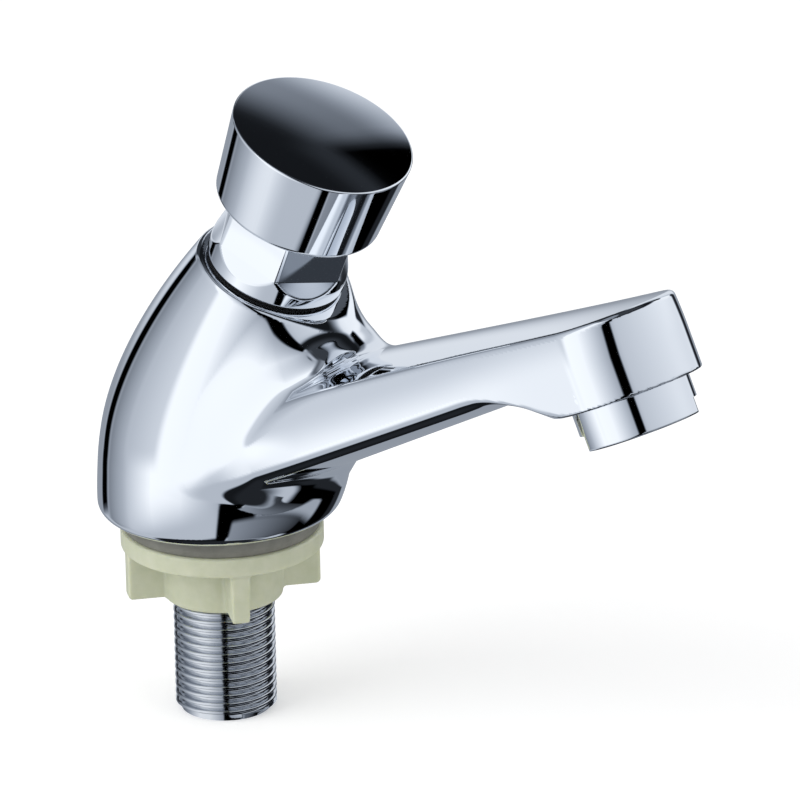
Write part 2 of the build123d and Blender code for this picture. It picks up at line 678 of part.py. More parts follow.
def spring_heights():
    """Heights of the middle of the wire at the spring's two ends."""
    wire = SPRING_WIRE_DIAMETER / 2
    bottom = SEAT_THICKNESS - SEAL_BORE_DEPTH + wire + SEAT_GAP
    return bottom, PISTON_TOP - PISTON_HEIGHT - wire - SEAT_GAP


def spring_gap(pressed_by):
    """Least gap between neighbouring turns, measured on points, with the button pressed."""
    bottom, top = spring_heights()
    height = top - bottom - pressed_by
    steps = 240
    points = []
    for step in range(steps + 1):
        turn = 2 * math.pi * SPRING_TURNS * step / steps
        x = SPRING_MEAN_RADIUS * math.cos(turn)
        y = SPRING_MEAN_RADIUS * math.sin(turn)
        points.append((x, y, height * step / steps))
    one_turn = steps / SPRING_TURNS
    least = height
    for first in range(steps + 1):
        for second in range(first + int(one_turn / 2), steps + 1):
            least = min(least, math.dist(points[first], points[second]))
    return least - SPRING_WIRE_DIAMETER


def return_spring():
    """Helical spring between the seat ring and the piston."""
    wire = SPRING_WIRE_DIAMETER / 2
    bottom, top = spring_heights()
    coil = Helix((top - bottom) / SPRING_TURNS, top - bottom, SPRING_MEAN_RADIUS)
    section = Plane(origin=coil @ 0, z_dir=coil % 0) * Circle(wire)
    spring = sweep(section, path=coil)
    return on_button(Pos(0, 0, bottom) * spring)


def cartridge_barrel():
    """The barrel: a flange under the bonnet, windows for the water and a sealed foot."""
    seal_middle = -(SEAL_BORE_DEPTH + WATER_BORE_DEPTH) / 2
    groove_bottom = seal_middle - BARREL_SEAL_GROOVE_WIDTH / 2
    groove_top = seal_middle + BARREL_SEAL_GROOVE_WIDTH / 2
    flange_bottom = -THREAD_BORE_DEPTH
    barrel = turned([
        (BARREL_BORE_RADIUS, -SEAL_BORE_DEPTH),
        (BARREL_SEAL_RADIUS, -SEAL_BORE_DEPTH),
        (BARREL_SEAL_RADIUS, groove_bottom),
        (BARREL_SEAL_GROOVE_RADIUS, groove_bottom),
        (BARREL_SEAL_GROOVE_RADIUS, groove_top),
        (BARREL_SEAL_RADIUS, groove_top),
        (BARREL_SEAL_RADIUS, -WATER_BORE_DEPTH),
        (BARREL_RADIUS, -WATER_BORE_DEPTH),
        (BARREL_RADIUS, flange_bottom),
        (BARREL_FLANGE_RADIUS, flange_bottom),
        (BARREL_FLANGE_RADIUS, flange_bottom + BARREL_FLANGE_THICKNESS),
        (BARREL_BORE_RADIUS, flange_bottom + BARREL_FLANGE_THICKNESS),
    ])
    window = Box(BARREL_WINDOW_WIDTH, BARREL_WINDOW_WIDTH, BARREL_WINDOW_HEIGHT)
    window = Pos(BARREL_RADIUS, 0, BARREL_WINDOW_BOTTOM + BARREL_WINDOW_HEIGHT / 2) * window
    return on_button(barrel - ring_of(window, BARREL_WINDOW_COUNT))


def barrel_seal():
    """O-ring round the foot of the barrel."""
    middle = (SEAL_BORE_RADIUS + BARREL_SEAL_GROOVE_RADIUS) / 2
    section = (SEAL_BORE_RADIUS - BARREL_SEAL_GROOVE_RADIUS) / 2 - SEAL_GAP
    return on_button(o_ring(middle, section, -(SEAL_BORE_DEPTH + WATER_BORE_DEPTH) / 2))


def seat_ring():
    """Brass valve seat in the foot of the barrel."""
    top = SEAT_THICKNESS - SEAL_BORE_DEPTH
    return on_button(tube(BARREL_BORE_RADIUS - STATIC_GAP, SEAT_BORE_RADIUS, -SEAL_BORE_DEPTH, top))


def stem_seal_section():
    """Section radius of the O-ring between the spindle and the bonnet."""
    return (BONNET_BUSH_RADIUS - SPINDLE_RADIUS) / 2 - SEAL_GAP


def stem_seal():
    """O-ring round the spindle, under the guide bush."""
    middle = (BONNET_BUSH_RADIUS + SPINDLE_RADIUS) / 2
    return on_button(o_ring(middle, stem_seal_section(), BONNET_WEB_TOP + stem_seal_section()))


def guide_bush():
    """Plastic bush that guides the spindle in the bonnet."""
    bottom = BONNET_WEB_TOP + 2 * stem_seal_section()
    bore_radius = SPINDLE_RADIUS + RUNNING_GAP
    return on_button(tube(BONNET_BUSH_RADIUS - STATIC_GAP, bore_radius, bottom, BUSH_TOP))


def bush_clip():
    """Spring clip above the guide bush."""
    outer_radius = BUSH_CLIP_RADIUS - STATIC_GAP
    top = BUSH_TOP + BUSH_CLIP_THICKNESS
    return on_button(slotted_ring(outer_radius, BUSH_CLIP_BORE_RADIUS, BUSH_TOP, top))


def outlet_ring():
    """The outlet housing: thread in the head, a collar with two spanner flats, and a ledge."""
    housing = turned([
        (RING_LEDGE_RADIUS, -RING_HEIGHT),
        (RING_RADIUS - RING_EDGE_RADIUS, -RING_HEIGHT),
        (RING_RADIUS, RING_EDGE_RADIUS - RING_HEIGHT),
        (RING_RADIUS, -STATIC_GAP),
        (OUTLET_SOCKET_RADIUS - STATIC_GAP, -STATIC_GAP),
        (OUTLET_SOCKET_RADIUS - STATIC_GAP, RING_THREAD_HEIGHT),
        (RING_BORE_RADIUS, RING_THREAD_HEIGHT),
        (RING_BORE_RADIUS, RING_LEDGE_HEIGHT - RING_HEIGHT),
        (RING_LEDGE_RADIUS, RING_LEDGE_HEIGHT - RING_HEIGHT),
    ])
    side = Box(RING_RADIUS, 2 * RING_RADIUS, 2 * RING_FLAT_HEIGHT)
    side = Pos((RING_FLAT_ACROSS + RING_RADIUS) / 2, 0, -RING_HEIGHT) * side
    return on_outlet(housing - ring_of(side, 2, RING_FLAT_TURN))


def outlet_gasket():
    """Rubber gasket above the outlet housing."""
    top = RING_THREAD_HEIGHT + OUTLET_GASKET_THICKNESS
    outer_radius = OUTLET_SOCKET_RADIUS - STATIC_GAP
    return on_outlet(tube(outer_radius, OUTLET_GASKET_BORE_RADIUS, RING_THREAD_HEIGHT, top))


def outlet_grid():
    """Plastic grid with a honeycomb of round holes, in the mouth of the outlet."""
    radius = RING_BORE_RADIUS - STATIC_GAP
    bottom = RING_LEDGE_HEIGHT - RING_HEIGHT
    top = bottom + OUTLET_GRID_THICKNESS
    reach = RING_LEDGE_RADIUS - OUTLET_GRID_HOLE_RADIUS
    hole = disc(OUTLET_GRID_HOLE_RADIUS, bottom - CUT_OVERRUN, top + CUT_OVERRUN)
    holes = [Pos(x, y, 0) * hole for x, y in hex_grid_places(OUTLET_GRID_PITCH, reach)]
    return on_outlet(disc(radius, bottom, top) - holes)


def aerator_cage():
    """Plastic cage that mixes air into the water, closed above by a plate of fine jets."""
    radius = RING_BORE_RADIUS - STATIC_GAP
    bottom = RING_LEDGE_HEIGHT - RING_HEIGHT + OUTLET_GRID_THICKNESS
    inside = disc(radius - CAGE_WALL, bottom - CUT_OVERRUN, RING_THREAD_HEIGHT - CAGE_TOP_THICKNESS)
    jet = Pos(CAGE_HOLE_CIRCLE, 0, 0) * disc(CAGE_HOLE_RADIUS, bottom, RING_THREAD_HEIGHT + CUT_OVERRUN)
    return on_outlet(disc(radius, bottom, RING_THREAD_HEIGHT) - inside - ring_of(jet, CAGE_HOLE_COUNT))


def aerator_screen():
    """Fine screen that lies on the grid, inside the cage."""
    radius = RING_BORE_RADIUS - 2 * STATIC_GAP - CAGE_WALL
    bottom = RING_LEDGE_HEIGHT - RING_HEIGHT + OUTLET_GRID_THICKNESS
    top = bottom + SCREEN_THICKNESS
    hole = disc(SCREEN_HOLE_RADIUS, bottom - CUT_OVERRUN, top + CUT_OVERRUN)
    reach = radius - 2 * SCREEN_HOLE_RADIUS
    holes = [Pos(x, y, 0) * hole for x, y in hex_grid_places(SCREEN_PITCH, reach)]
    return on_outlet(disc(radius, bottom, top) - holes)


PIECES = [
    tap_body,
    inlet_tail,
    tail_washer,
    inlet_strainer,
    base_gasket,
    backnut,
    bonnet_gasket,
    bonnet_nut,
    push_button,
    button_lock_nut,
    spindle,
    piston,
    piston_lip_seal,
    bleed_jet,
    piston_clip,
    valve_washer,
    valve_nut,
    return_spring,
    cartridge_barrel,
    barrel_seal,
    seat_ring,
    stem_seal,
    guide_bush,
    bush_clip,
    outlet_ring,
    outlet_gasket,
    outlet_grid,
    aerator_cage,
    aerator_screen,
]

os.makedirs("parts", exist_ok=True)
for piece in PIECES:
    solid = piece()
    export_step(solid, "parts/" + piece.__name__ + ".step")
    print(piece.__name__, round(solid.volume, 1))

valve_foot = valve_heights()[2] - BUTTON_STROKE
lowered_nut = -BASE_GASKET_THICKNESS - NUT_HEIGHT - NUT_TRAVEL
print("least gap of the spring to itself, at rest", round(spring_gap(0), 3))
print("least gap of the spring to itself, pressed", round(spring_gap(BUTTON_STROKE), 3))
print("foot of the spindle, pressed", round(valve_foot, 3))
print("tail left below the lowered nut", round(lowered_nut + TAIL_LENGTH, 3))
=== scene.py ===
# %% [markdown]
# # A push timed tap
#
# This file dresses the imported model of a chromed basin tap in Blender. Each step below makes
# one piece or one finish, and says why it is made that way.

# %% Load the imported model
import json
import math

import bmesh
import bpy
import numpy as np
from mathutils import Matrix, Vector


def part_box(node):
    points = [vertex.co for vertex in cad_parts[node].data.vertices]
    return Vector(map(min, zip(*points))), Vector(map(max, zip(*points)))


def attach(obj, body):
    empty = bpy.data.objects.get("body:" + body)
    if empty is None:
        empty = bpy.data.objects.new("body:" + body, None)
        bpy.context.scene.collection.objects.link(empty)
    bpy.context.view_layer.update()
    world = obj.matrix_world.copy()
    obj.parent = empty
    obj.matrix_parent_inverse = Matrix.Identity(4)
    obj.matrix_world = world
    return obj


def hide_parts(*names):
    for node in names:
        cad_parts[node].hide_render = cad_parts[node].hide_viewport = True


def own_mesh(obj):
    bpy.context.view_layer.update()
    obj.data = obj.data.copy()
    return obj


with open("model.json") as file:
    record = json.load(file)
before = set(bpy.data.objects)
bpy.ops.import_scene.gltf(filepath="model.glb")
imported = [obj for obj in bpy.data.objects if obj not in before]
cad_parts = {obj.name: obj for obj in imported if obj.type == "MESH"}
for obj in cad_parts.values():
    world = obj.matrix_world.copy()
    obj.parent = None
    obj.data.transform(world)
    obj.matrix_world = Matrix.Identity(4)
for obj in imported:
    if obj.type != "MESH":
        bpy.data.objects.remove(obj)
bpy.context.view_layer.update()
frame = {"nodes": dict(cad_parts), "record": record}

MM = 0.001
scene = bpy.context.scene
nodes = frame["nodes"]

# %% [markdown]
# ## The camera
#
# The picture was taken with a long lens from the tap's near side, a little above it. A camera
# far away with a long lens keeps the spout's edges almost parallel, so the same lens and
# distance are used here. The camera also leans over by one degree.

# %% Camera
TURN = math.radians(41.0)
LIFT = math.radians(20.76)
ROLL = math.radians(-1.0)
CAMERA_DISTANCE = 1598.85 * MM
LENS = 360.0
SENSOR_WIDTH = 36.0
NEAREST_SEEN = 0.05
LOOK_AT = Vector((49.01, 0.0, 35.42)) * MM

back = Vector((math.sin(TURN) * math.cos(LIFT), -math.cos(TURN) * math.cos(LIFT), math.sin(LIFT)))
right = Vector((math.cos(TURN), math.sin(TURN), 0.0))
up = back.cross(right)
rolled_right = right * math.cos(ROLL) + up * math.sin(ROLL)
rolled_up = up * math.cos(ROLL) - right * math.sin(ROLL)

camera_data = bpy.data.cameras.new("camera")
camera_data.lens = LENS
camera_data.sensor_width = SENSOR_WIDTH
camera_data.clip_start = NEAREST_SEEN
camera = bpy.data.objects.new("camera", camera_data)
camera_axes = Matrix((rolled_right, rolled_up, back)).transposed().to_4x4()
camera.matrix_world = Matrix.Translation(LOOK_AT + back * CAMERA_DISTANCE) @ camera_axes
scene.collection.objects.link(camera)
scene.camera = camera
print("camera", round(CAMERA_DISTANCE, 3), "m away, lens", LENS, "mm")

# %% [markdown]
# ## Surfaces from arrays
#
# Every new piece is a surface worked out with numpy. A turned piece is a profile carried round
# an axis: a grid of points, one row for each point of the profile and one column for each angle.
# A small helper turns such a grid into a mesh, closes its seams and poles by merging the points
# that fall together, and points all faces outwards.

# %% Helpers for grids and meshes
def grid_quads(rows, columns, closed):
    """Quads between neighbouring rows and columns. Columns wrap round; rows do if closed."""
    row = np.arange(rows if closed else rows - 1)[:, None]
    column = np.arange(columns)[None, :]
    next_row = (row + 1) % rows
    next_column = (column + 1) % columns
    corners = [row * columns + column, row * columns + next_column,
               next_row * columns + next_column, next_row * columns + column]
    return np.stack(corners, -1).reshape(-1, 4)


def mesh_from(name, points, faces):
    """A mesh from an array of points in millimetres and an array of faces."""
    mesh = bpy.data.meshes.new(name)
    mesh.vertices.add(len(points))
    mesh.vertices.foreach_set("co", (points * MM).astype(np.float32).ravel())
    mesh.loops.add(faces.size)
    mesh.loops.foreach_set("vertex_index", faces.astype(np.int32).ravel())
    mesh.polygons.add(len(faces))
    mesh.polygons.foreach_set("loop_start", np.arange(0, faces.size, faces.shape[1], dtype=np.int32))
    mesh.update(calc_edges=True)
    return mesh


MERGE_DISTANCE = 0.0005 * MM


def tidy(mesh):
    """Merges points that fall together and points every face outwards."""
    work = bmesh.new()
    work.from_mesh(mesh)
    bmesh.ops.remove_doubles(work, verts=work.verts, dist=MERGE_DISTANCE)
    bmesh.ops.recalc_face_normals(work, faces=work.faces)
    work.to_mesh(mesh)
    work.free()


def piece(name, mesh, finish, body, stands_for):
    """Puts a mesh in the scene as a piece that rides on a body and replaces CAD nodes."""
    mesh.polygons.foreach_set("use_smooth", np.ones(len(mesh.polygons), bool))
    new = bpy.data.objects.new(name, mesh)
    scene.collection.objects.link(new)
    new.data.materials.append(finish)
    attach(new, body)
    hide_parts(*stands_for)
    print(name, len(mesh.vertices), "points,", len(mesh.polygons), "faces")
    return new


print("helpers ready")

# %% [markdown]
# ## Chrome
#
# Chrome plate is a mirror with a faint blue cast. What makes it look real is what it mirrors, so
# the finish itself is short: a metal with a very low roughness that drifts a little from place
# to place, as buffing leaves it, and a shallow wave under it, because a cast and polished body
# is never quite fair. The thread's chrome is thinner and duller, because a die leaves it rough.

# %% Chrome finish
def new_material(name):
    """An empty node material with its output and a Principled shader."""
    made = bpy.data.materials.new(name)
    made.use_nodes = True
    tree = made.node_tree
    return made, tree, tree.nodes["Principled BSDF"]


def dial(node, settings):
    """Sets a node's sockets, each by its name."""
    for socket, value in settings.items():
        node.inputs[socket].default_value = value


def noise_of(tree, scale, detail, roughness=0.5):
    """A noise texture on Object coordinates."""
    place = tree.nodes.new("ShaderNodeTexCoord")
    noise = tree.nodes.new("ShaderNodeTexNoise")
    dial(noise, {"Scale": scale, "Detail": detail, "Roughness": roughness})
    tree.links.new(place.outputs["Object"], noise.inputs["Vector"])
    return noise


NOISE_LOW, NOISE_HIGH = 0.3, 0.7


def spread(tree, source, low, high, target):
    """Maps the values where most of a noise lies onto low to high, and feeds them to a socket."""
    mapped = tree.nodes.new("ShaderNodeMapRange")
    dial(mapped, {"From Min": NOISE_LOW, "From Max": NOISE_HIGH, "To Min": low, "To Max": high})
    tree.links.new(source, mapped.inputs["Value"])
    tree.links.new(mapped.outputs["Result"], target)


def bump(tree, shader, source, height, strength=1.0):
    """Feeds a texture to the shader's normal as a relief of the given height in metres."""
    relief = tree.nodes.new("ShaderNodeBump")
    dial(relief, {"Strength": strength, "Distance": height})
    tree.links.new(source, relief.inputs["Height"])
    tree.links.new(relief.outputs["Normal"], shader.inputs["Normal"])


CHROME_COLOUR = (0.88, 0.905, 0.94, 1.0)
THREAD_COLOUR = (0.66, 0.68, 0.71, 1.0)
BUFFING_SCALE, WAVE_SCALE = 90.0, 38.0


def chrome(name, wave_height, smooth, dull, colour=CHROME_COLOUR):
    """Polished chrome: mirror metal, uneven buffing, and a shallow wave under the plate."""
    made, tree, shader = new_material(name)
    dial(shader, {"Base Color": colour, "Metallic": 1.0})
    buffing = noise_of(tree, BUFFING_SCALE, detail=3.0)
    spread(tree, buffing.outputs["Fac"], smooth, dull, shader.inputs["Roughness"])
    wave = noise_of(tree, WAVE_SCALE, detail=1.0)
    bump(tree, shader, wave.outputs["Fac"], wave_height)
    return made


body_chrome = chrome("body_chrome", wave_height=0.010 * MM, smooth=0.015, dull=0.035)
turned_chrome = chrome("turned_chrome", wave_height=0.002 * MM, smooth=0.02, dull=0.05)
thread_chrome = chrome("thread_chrome", wave_height=0.006 * MM, smooth=0.06, dull=0.14,
                       colour=THREAD_COLOUR)
print("chrome ready")

# %% [markdown]
# ## The studio
#
# A mirror shows the room. The tap was shot between large white diffusers with black gaps between
# them, which draw the dark bands that give chrome its shape. A dome round the tap holds these
# panels. Only reflections see it: the camera and the plain light do not, so it works like the
# cards and flags of a product photographer. Real cards and lamps would do the same, but a dome
# that carries one number at each point is quicker to trace and has no noise. Each panel is a patch
# of the dome with soft edges, given by its direction, and later panels lie over earlier ones.

# %% Grid of directions
DOME_STEP = 1.0
azimuth = np.arange(-180.0, 180.0, DOME_STEP)
elevation = np.arange(-90.0, 90.0 + DOME_STEP, DOME_STEP)
around, above = np.meshgrid(azimuth, elevation)
print("dome grid", around.shape)


# %% Soft panels
def soft_band(value, low, high, edge):
    """1 between low and high, falling to 0 over the given edge on both sides."""
    rise = np.clip((value - low) / edge + 0.5, 0.0, 1.0)
    fall = np.clip((high - value) / edge + 0.5, 0.0, 1.0)
    both = np.minimum(rise, fall)
    return both * both * (3.0 - 2.0 * both)


def with_panel(under, start, end, low, high, level, edge, end_level=None):
    """The shades with a panel over them: its level, which may run to another at its end, times
    its cover, plus what is under it times the rest."""
    half = (end - start) / 2.0
    off_middle = (around - start - half + 180.0) % 360.0 - 180.0
    cover = soft_band(off_middle, -half, half, edge) * soft_band(above, low, high, edge)
    share = np.clip(0.5 + off_middle / (2.0 * half), 0.0, 1.0)
    tone = level if end_level is None else level + (end_level - level) * share
    return under * (1.0 - cover) + tone * cover


# Each row holds where a panel starts and ends round the tap, how low and how high it reaches, its
# level, its soft edge and, if it is graded, the level at its end. Angles are in degrees, round
# from the spout's direction and up from the horizon.
ROOM_SHADE = 0.55
PANELS = [
    # The left diffuser in four strips, then the softer light under it and the black floor cloth.
    (-180, -148, -40, 64, 0.22, 10, 0.56),
    (-152, -122, -62, 64, 0.56, 8, 1.05),
    (-124, -88, -62, 64, 1.10, 6, 1.04),
    (-92, -52, -62, 64, 1.04, 6, 0.36),
    (-152, -116, -15, 64, 0.54, 9, 0.74),
    (-150, -52, -72, -34, 0.55, 24),
    (-200, -52, -91, -60, 0.01, 4),
    # The right diffuser, brighter above the level of the tap.
    (-42, 95, -12, 45, 0.45, 6, 0.85),
    (-42, 95, 8, 45, 0.60, 18, 1.0),
    # The pale wall behind, with a black card across its top and the cloth under it.
    (104, 165, -25, 44, 0.34, 8),
    (104, 165, -6, 44, 0.80, 14),
    (136, 176, 12, 50, 0.04, 7),
    (104, 165, -50, -18, 0.34, 8),
    (90, 165, -91, -50, 0.01, 5),
    # The cloth on the right, with two grey cards lying on it.
    (-54, 100, -62, -15, 0.0, 4),
    (-16, 66, -47, -29, 0.40, 6),
    (-40, 50, -70, -48, 0.30, 4, 0.03),
    # Black gaps: behind the camera, between the right diffuser and the wall, and at the far left.
    (-56, -42, -91, 60, 0.0, 3),
    (90, 104, -60, 10, 0.02, 5),
    (166, 179, -25, 8, 0.0, 4),
    # The small cards over the far corner, which the bonnet and the button show.
    (84, 126, 36, 48, 0.01, 9, 0.36),
    (84, 126, 45, 70, 0.02, 8),
    (82, 101, 35, 47, 0.0, 4),
    (84, 102, 48, 54, 0.10, 5),
    # The dark ceiling with its grey opening, and the black under the tap.
    (-46, 180, 47, 100, 0.01, 8),
    (-200, -42, 66, 100, 0.01, 8),
    (-46, 200, 62, 100, 0.05, 12),
    (-200, -42, 70, 100, 0.30, 12),
    (-200, 200, -100, -72, 0.02, 10),
]
shade = np.full(around.shape, ROOM_SHADE)
for row in PANELS:
    shade = with_panel(shade, *row)
print(len(PANELS), "panels, mean shade", round(float(shade.mean()), 2))

# %% Dome mesh
DOME_RADIUS = 2500.0
DOME_MIDDLE_HEIGHT = 30.0
directions = np.stack([np.cos(np.radians(above)) * np.cos(np.radians(around)),
                       np.cos(np.radians(above)) * np.sin(np.radians(around)),
                       np.sin(np.radians(above))], -1)
dome_points = directions * DOME_RADIUS + np.array([0.0, 0.0, DOME_MIDDLE_HEIGHT])
dome_mesh = mesh_from("studio_dome", dome_points.reshape(-1, 3), grid_quads(*around.shape, False))
shade_of_points = dome_mesh.attributes.new("shade", "FLOAT", "POINT")
shade_of_points.data.foreach_set("value", shade.astype(np.float32).ravel())
dome = bpy.data.objects.new("studio_dome", dome_mesh)
scene.collection.objects.link(dome)
dome.visible_camera = False
dome.visible_diffuse = False
dome.visible_shadow = False
dome.visible_transmission = False
dome.visible_volume_scatter = False
print("dome", len(dome_mesh.polygons), "faces")

# %% [markdown]
# ## The dome's light
#
# The dome gives off its own light, as strong as the shade at each point. Chrome's deep greys
# look a little bluer than its whites, so the colour runs from a cool tint in the dark panels
# to a nearly neutral one in the bright ones.

# %% Dome light
DARK_TINT = (0.80, 0.92, 1.12, 1.0)
LIGHT_TINT = (0.97, 1.0, 1.04, 1.0)
dome_look = bpy.data.materials.new("studio_dome")
dome_look.use_nodes = True
dome_look.cycles.emission_sampling = "NONE"
tree = dome_look.node_tree
tree.nodes.remove(tree.nodes["Principled BSDF"])
glow = tree.nodes.new("ShaderNodeEmission")
shade_of = tree.nodes.new("ShaderNodeAttribute")
shade_of.attribute_name = "shade"
tint = tree.nodes.new("ShaderNodeMix")
tint.data_type = "RGBA"
dial(tint, {"A": DARK_TINT, "B": LIGHT_TINT})
tree.links.new(shade_of.outputs["Fac"], tint.inputs["Factor"])
tree.links.new(tint.outputs["Result"], glow.inputs["Color"])
tree.links.new(shade_of.outputs["Fac"], glow.inputs["Strength"])
tree.links.new(glow.outputs["Emission"], tree.nodes["Material Output"].inputs["Surface"])
dome.data.materials.append(dome_look)
print("dome lit from", DARK_TINT[:3], "to", LIGHT_TINT[:3])

# %% [markdown]
# ## The floor
#
# The floor is plain and white and takes the tap's soft shadow. The chrome doesn't reflect it,
# because the dome looks after all reflections. It glows a little to the camera alone, so that it
# comes out white without more light on the tap.

# %% Floor
FLOOR_HALF = 3000.0
FLOOR_COLOUR = (0.93, 0.93, 0.93, 1.0)
FLOOR_ROUGHNESS = 0.9
FLOOR_GLOW = 0.30
WHITE = (1.0, 1.0, 1.0, 1.0)
floor_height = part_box("inlet_tail")[0].z / MM
corners = np.array([[-1, -1], [1, -1], [1, 1], [-1, 1]]) * FLOOR_HALF
floor_points = np.column_stack([corners, np.full(4, floor_height)])
floor = bpy.data.objects.new("floor", mesh_from("floor", floor_points, np.array([[0, 1, 2, 3]])))
scene.collection.objects.link(floor)
floor.visible_glossy = False
floor_look, tree, shader = new_material("floor")
dial(shader, {"Base Color": FLOOR_COLOUR, "Roughness": FLOOR_ROUGHNESS, "Emission Color": WHITE})
ray = tree.nodes.new("ShaderNodeLightPath")
lift = tree.nodes.new("ShaderNodeMath")
lift.operation = "MULTIPLY"
lift.inputs[1].default_value = FLOOR_GLOW
tree.links.new(ray.outputs["Is Camera Ray"], lift.inputs[0])
tree.links.new(lift.outputs["Value"], shader.inputs["Emission Strength"])
floor.data.materials.append(floor_look)
print("floor at", round(floor_height, 2), "mm")

# %% [markdown]
# ## The world and the lamps
#
# The world is white to the camera and a plain grey light to everything else. Two wide lamps, one
# to the left and a weaker one to the right, give rubber and plastic their soft shading. One lamp
# would leave the nut's far wings black, and more would wash out the shadow.

# %% World and lamps
AMBIENT = 0.62
world = bpy.data.worlds.new("world")
world.use_nodes = True
scene.world = world
tree = world.node_tree
sky = tree.nodes["Background"]
dial(sky, {"Color": WHITE})
ray = tree.nodes.new("ShaderNodeLightPath")
seen = tree.nodes.new("ShaderNodeMapRange")
dial(seen, {"To Min": AMBIENT, "To Max": 1.0})
tree.links.new(ray.outputs["Is Camera Ray"], seen.inputs["Value"])
tree.links.new(seen.outputs["Result"], sky.inputs["Strength"])


def lamp(name, az, el, distance, size, power):
    """A square area lamp that looks at the tap's middle from a direction."""
    data = bpy.data.lights.new(name, "AREA")
    data.shape = "SQUARE"
    data.size = size
    data.energy = power
    made = bpy.data.objects.new(name, data)
    away = Vector((math.cos(el) * math.cos(az), math.cos(el) * math.sin(az), math.sin(el)))
    made.location = LOOK_AT + away * distance
    made.rotation_euler = away.to_track_quat("Z", "Y").to_euler()
    made.visible_glossy = False
    scene.collection.objects.link(made)


lamp("left_diffuser", math.radians(-115), math.radians(35), distance=1.2, size=1.0, power=7.0)
lamp("right_diffuser", math.radians(10), math.radians(30), distance=1.2, size=0.8, power=2.5)
scene.view_settings.view_transform = "Standard"
print("world at", AMBIENT, "and", len(bpy.data.lights), "lamps")

# %% [markdown]
# ## The body
#
# The casting is one flowing form: a leaning column and a spout that melt into each other with
# wide hollows. A lathe or a loft cannot make that blend, so the body is written as a distance
# field: a formula that is negative inside the metal and positive outside. Such fields join with a
# smooth minimum, which leaves a hollow of a chosen radius. The column and the spout are each
# written along their own lines, so the cell below first sets up the two leaning axes that the
# turned pieces will share.

# %% Frames of the body
LEAN = math.radians(23.9)
RISE = math.radians(25.6)
COLLAR = np.array([16.2, 0.0, 56.3])
ROOT_HEIGHT = 6.8
OUTLET_FORWARD = 108.3
ROOT_DISTANCE = (OUTLET_FORWARD - COLLAR[0]) / math.cos(RISE)
OUTLET = np.array([OUTLET_FORWARD, 0.0, ROOT_HEIGHT + ROOT_DISTANCE * math.sin(RISE)])
ACROSS = np.array([0.0, 1.0, 0.0])
BUTTON_AXIS = np.array([math.sin(LEAN), 0.0, math.cos(LEAN)])
BUTTON_SIDE = np.array([math.cos(LEAN), 0.0, -math.sin(LEAN)])
SPOUT_ALONG = np.array([math.cos(RISE), 0.0, math.sin(RISE)])
SPOUT_UP = np.array([-math.sin(RISE), 0.0, math.cos(RISE)])


def on_tail(points):
    """Leaves points where they are: the tail's axis is the model's own, height 0 at the deck."""
    return points


def on_button(points):
    """Moves points from their own axis to the button axis, height 0 at the collar's rim."""
    return COLLAR + points @ np.array([BUTTON_SIDE, ACROSS, BUTTON_AXIS])


def on_outlet(points):
    """Moves points from their own axis to the outlet axis, height 0 at the head's rim."""
    return OUTLET + points @ np.array([SPOUT_ALONG, ACROSS, SPOUT_UP])


print("outlet axis meets the rim at", np.round(OUTLET, 2))

# %% [markdown]
# ## Joining distances
#
# A plain minimum of two distances joins two forms with a sharp inner corner, and a plain maximum
# cuts one by the other with a sharp edge. Within the chosen radius of both, the two helpers put a
# quarter circle there, as a caster's fillet and a polisher's wheel do.

# %% Smooth joins between distances
def smooth_least(first, second, radius):
    """The smaller of two distances, with a hollow of the radius where the forms meet."""
    corner = np.hypot(np.maximum(radius - first, 0.0), np.maximum(radius - second, 0.0))
    return np.maximum(radius, np.minimum(first, second)) - corner


def smooth_most(first, second, radius):
    """The larger of two distances, with an edge rounded to the radius where the forms meet."""
    return -smooth_least(-first, -second, radius)


def ease(value, low, high):
    """0 below low, 1 above high, with a soft S between."""
    share = np.clip((value - low) / (high - low), 0.0, 1.0)
    return share * share * (3.0 - 2.0 * share)


print("metal in a join's corner:", round(-float(smooth_least(0.0, 0.0, 1.0)), 3), "of the radius")

# %% [markdown]
# ## The column
#
# The column stands upright on the basin and leans forwards at the top. Its centre line is a curve
# with one control point, upright at the foot and on the button's axis at the collar. The radius
# swells from the foot to the belly and draws in to the collar. The nearest place on the curve has
# no short formula, so a few Newton steps find it for all points at once.

# %% Column
FOOT_FLARE = 23.6
BELLY_RADIUS = 25.9
COLLAR_RADIUS = 16.0
BELLY_SHARE = 0.23
SHOULDER_POWER = 1.4
BELLY_SOFTNESS = 0.12
FOOT_SHIFT, FOOT_SHIFT_HEIGHT, FOOT_SHIFT_LIMIT = 1.4, 12.0, 1.5
CENTRE_RISE = COLLAR[2] - COLLAR[0] / math.tan(LEAN)
NEWTON_ROUNDS = 5
STEADY_RATE = -100.0
CURVE_START, CURVE_END = -0.05, 1.05
TABLE_POINTS = 801


def centre_line(share):
    """The curve's x and z: the squares of the share and of the rest, and twice their product,
    weigh the collar, the foot and the control point above the foot."""
    return share ** 2 * COLLAR[0], 2 * share * (1 - share) * CENTRE_RISE + share ** 2 * COLLAR[2]


table_step = np.linspace(0.0, 1.0, TABLE_POINTS)
table_x, table_z = centre_line(table_step)
table_length = np.concatenate([[0.0], np.cumsum(np.hypot(np.diff(table_x), np.diff(table_z)))])
table_share = table_length / table_length[-1]


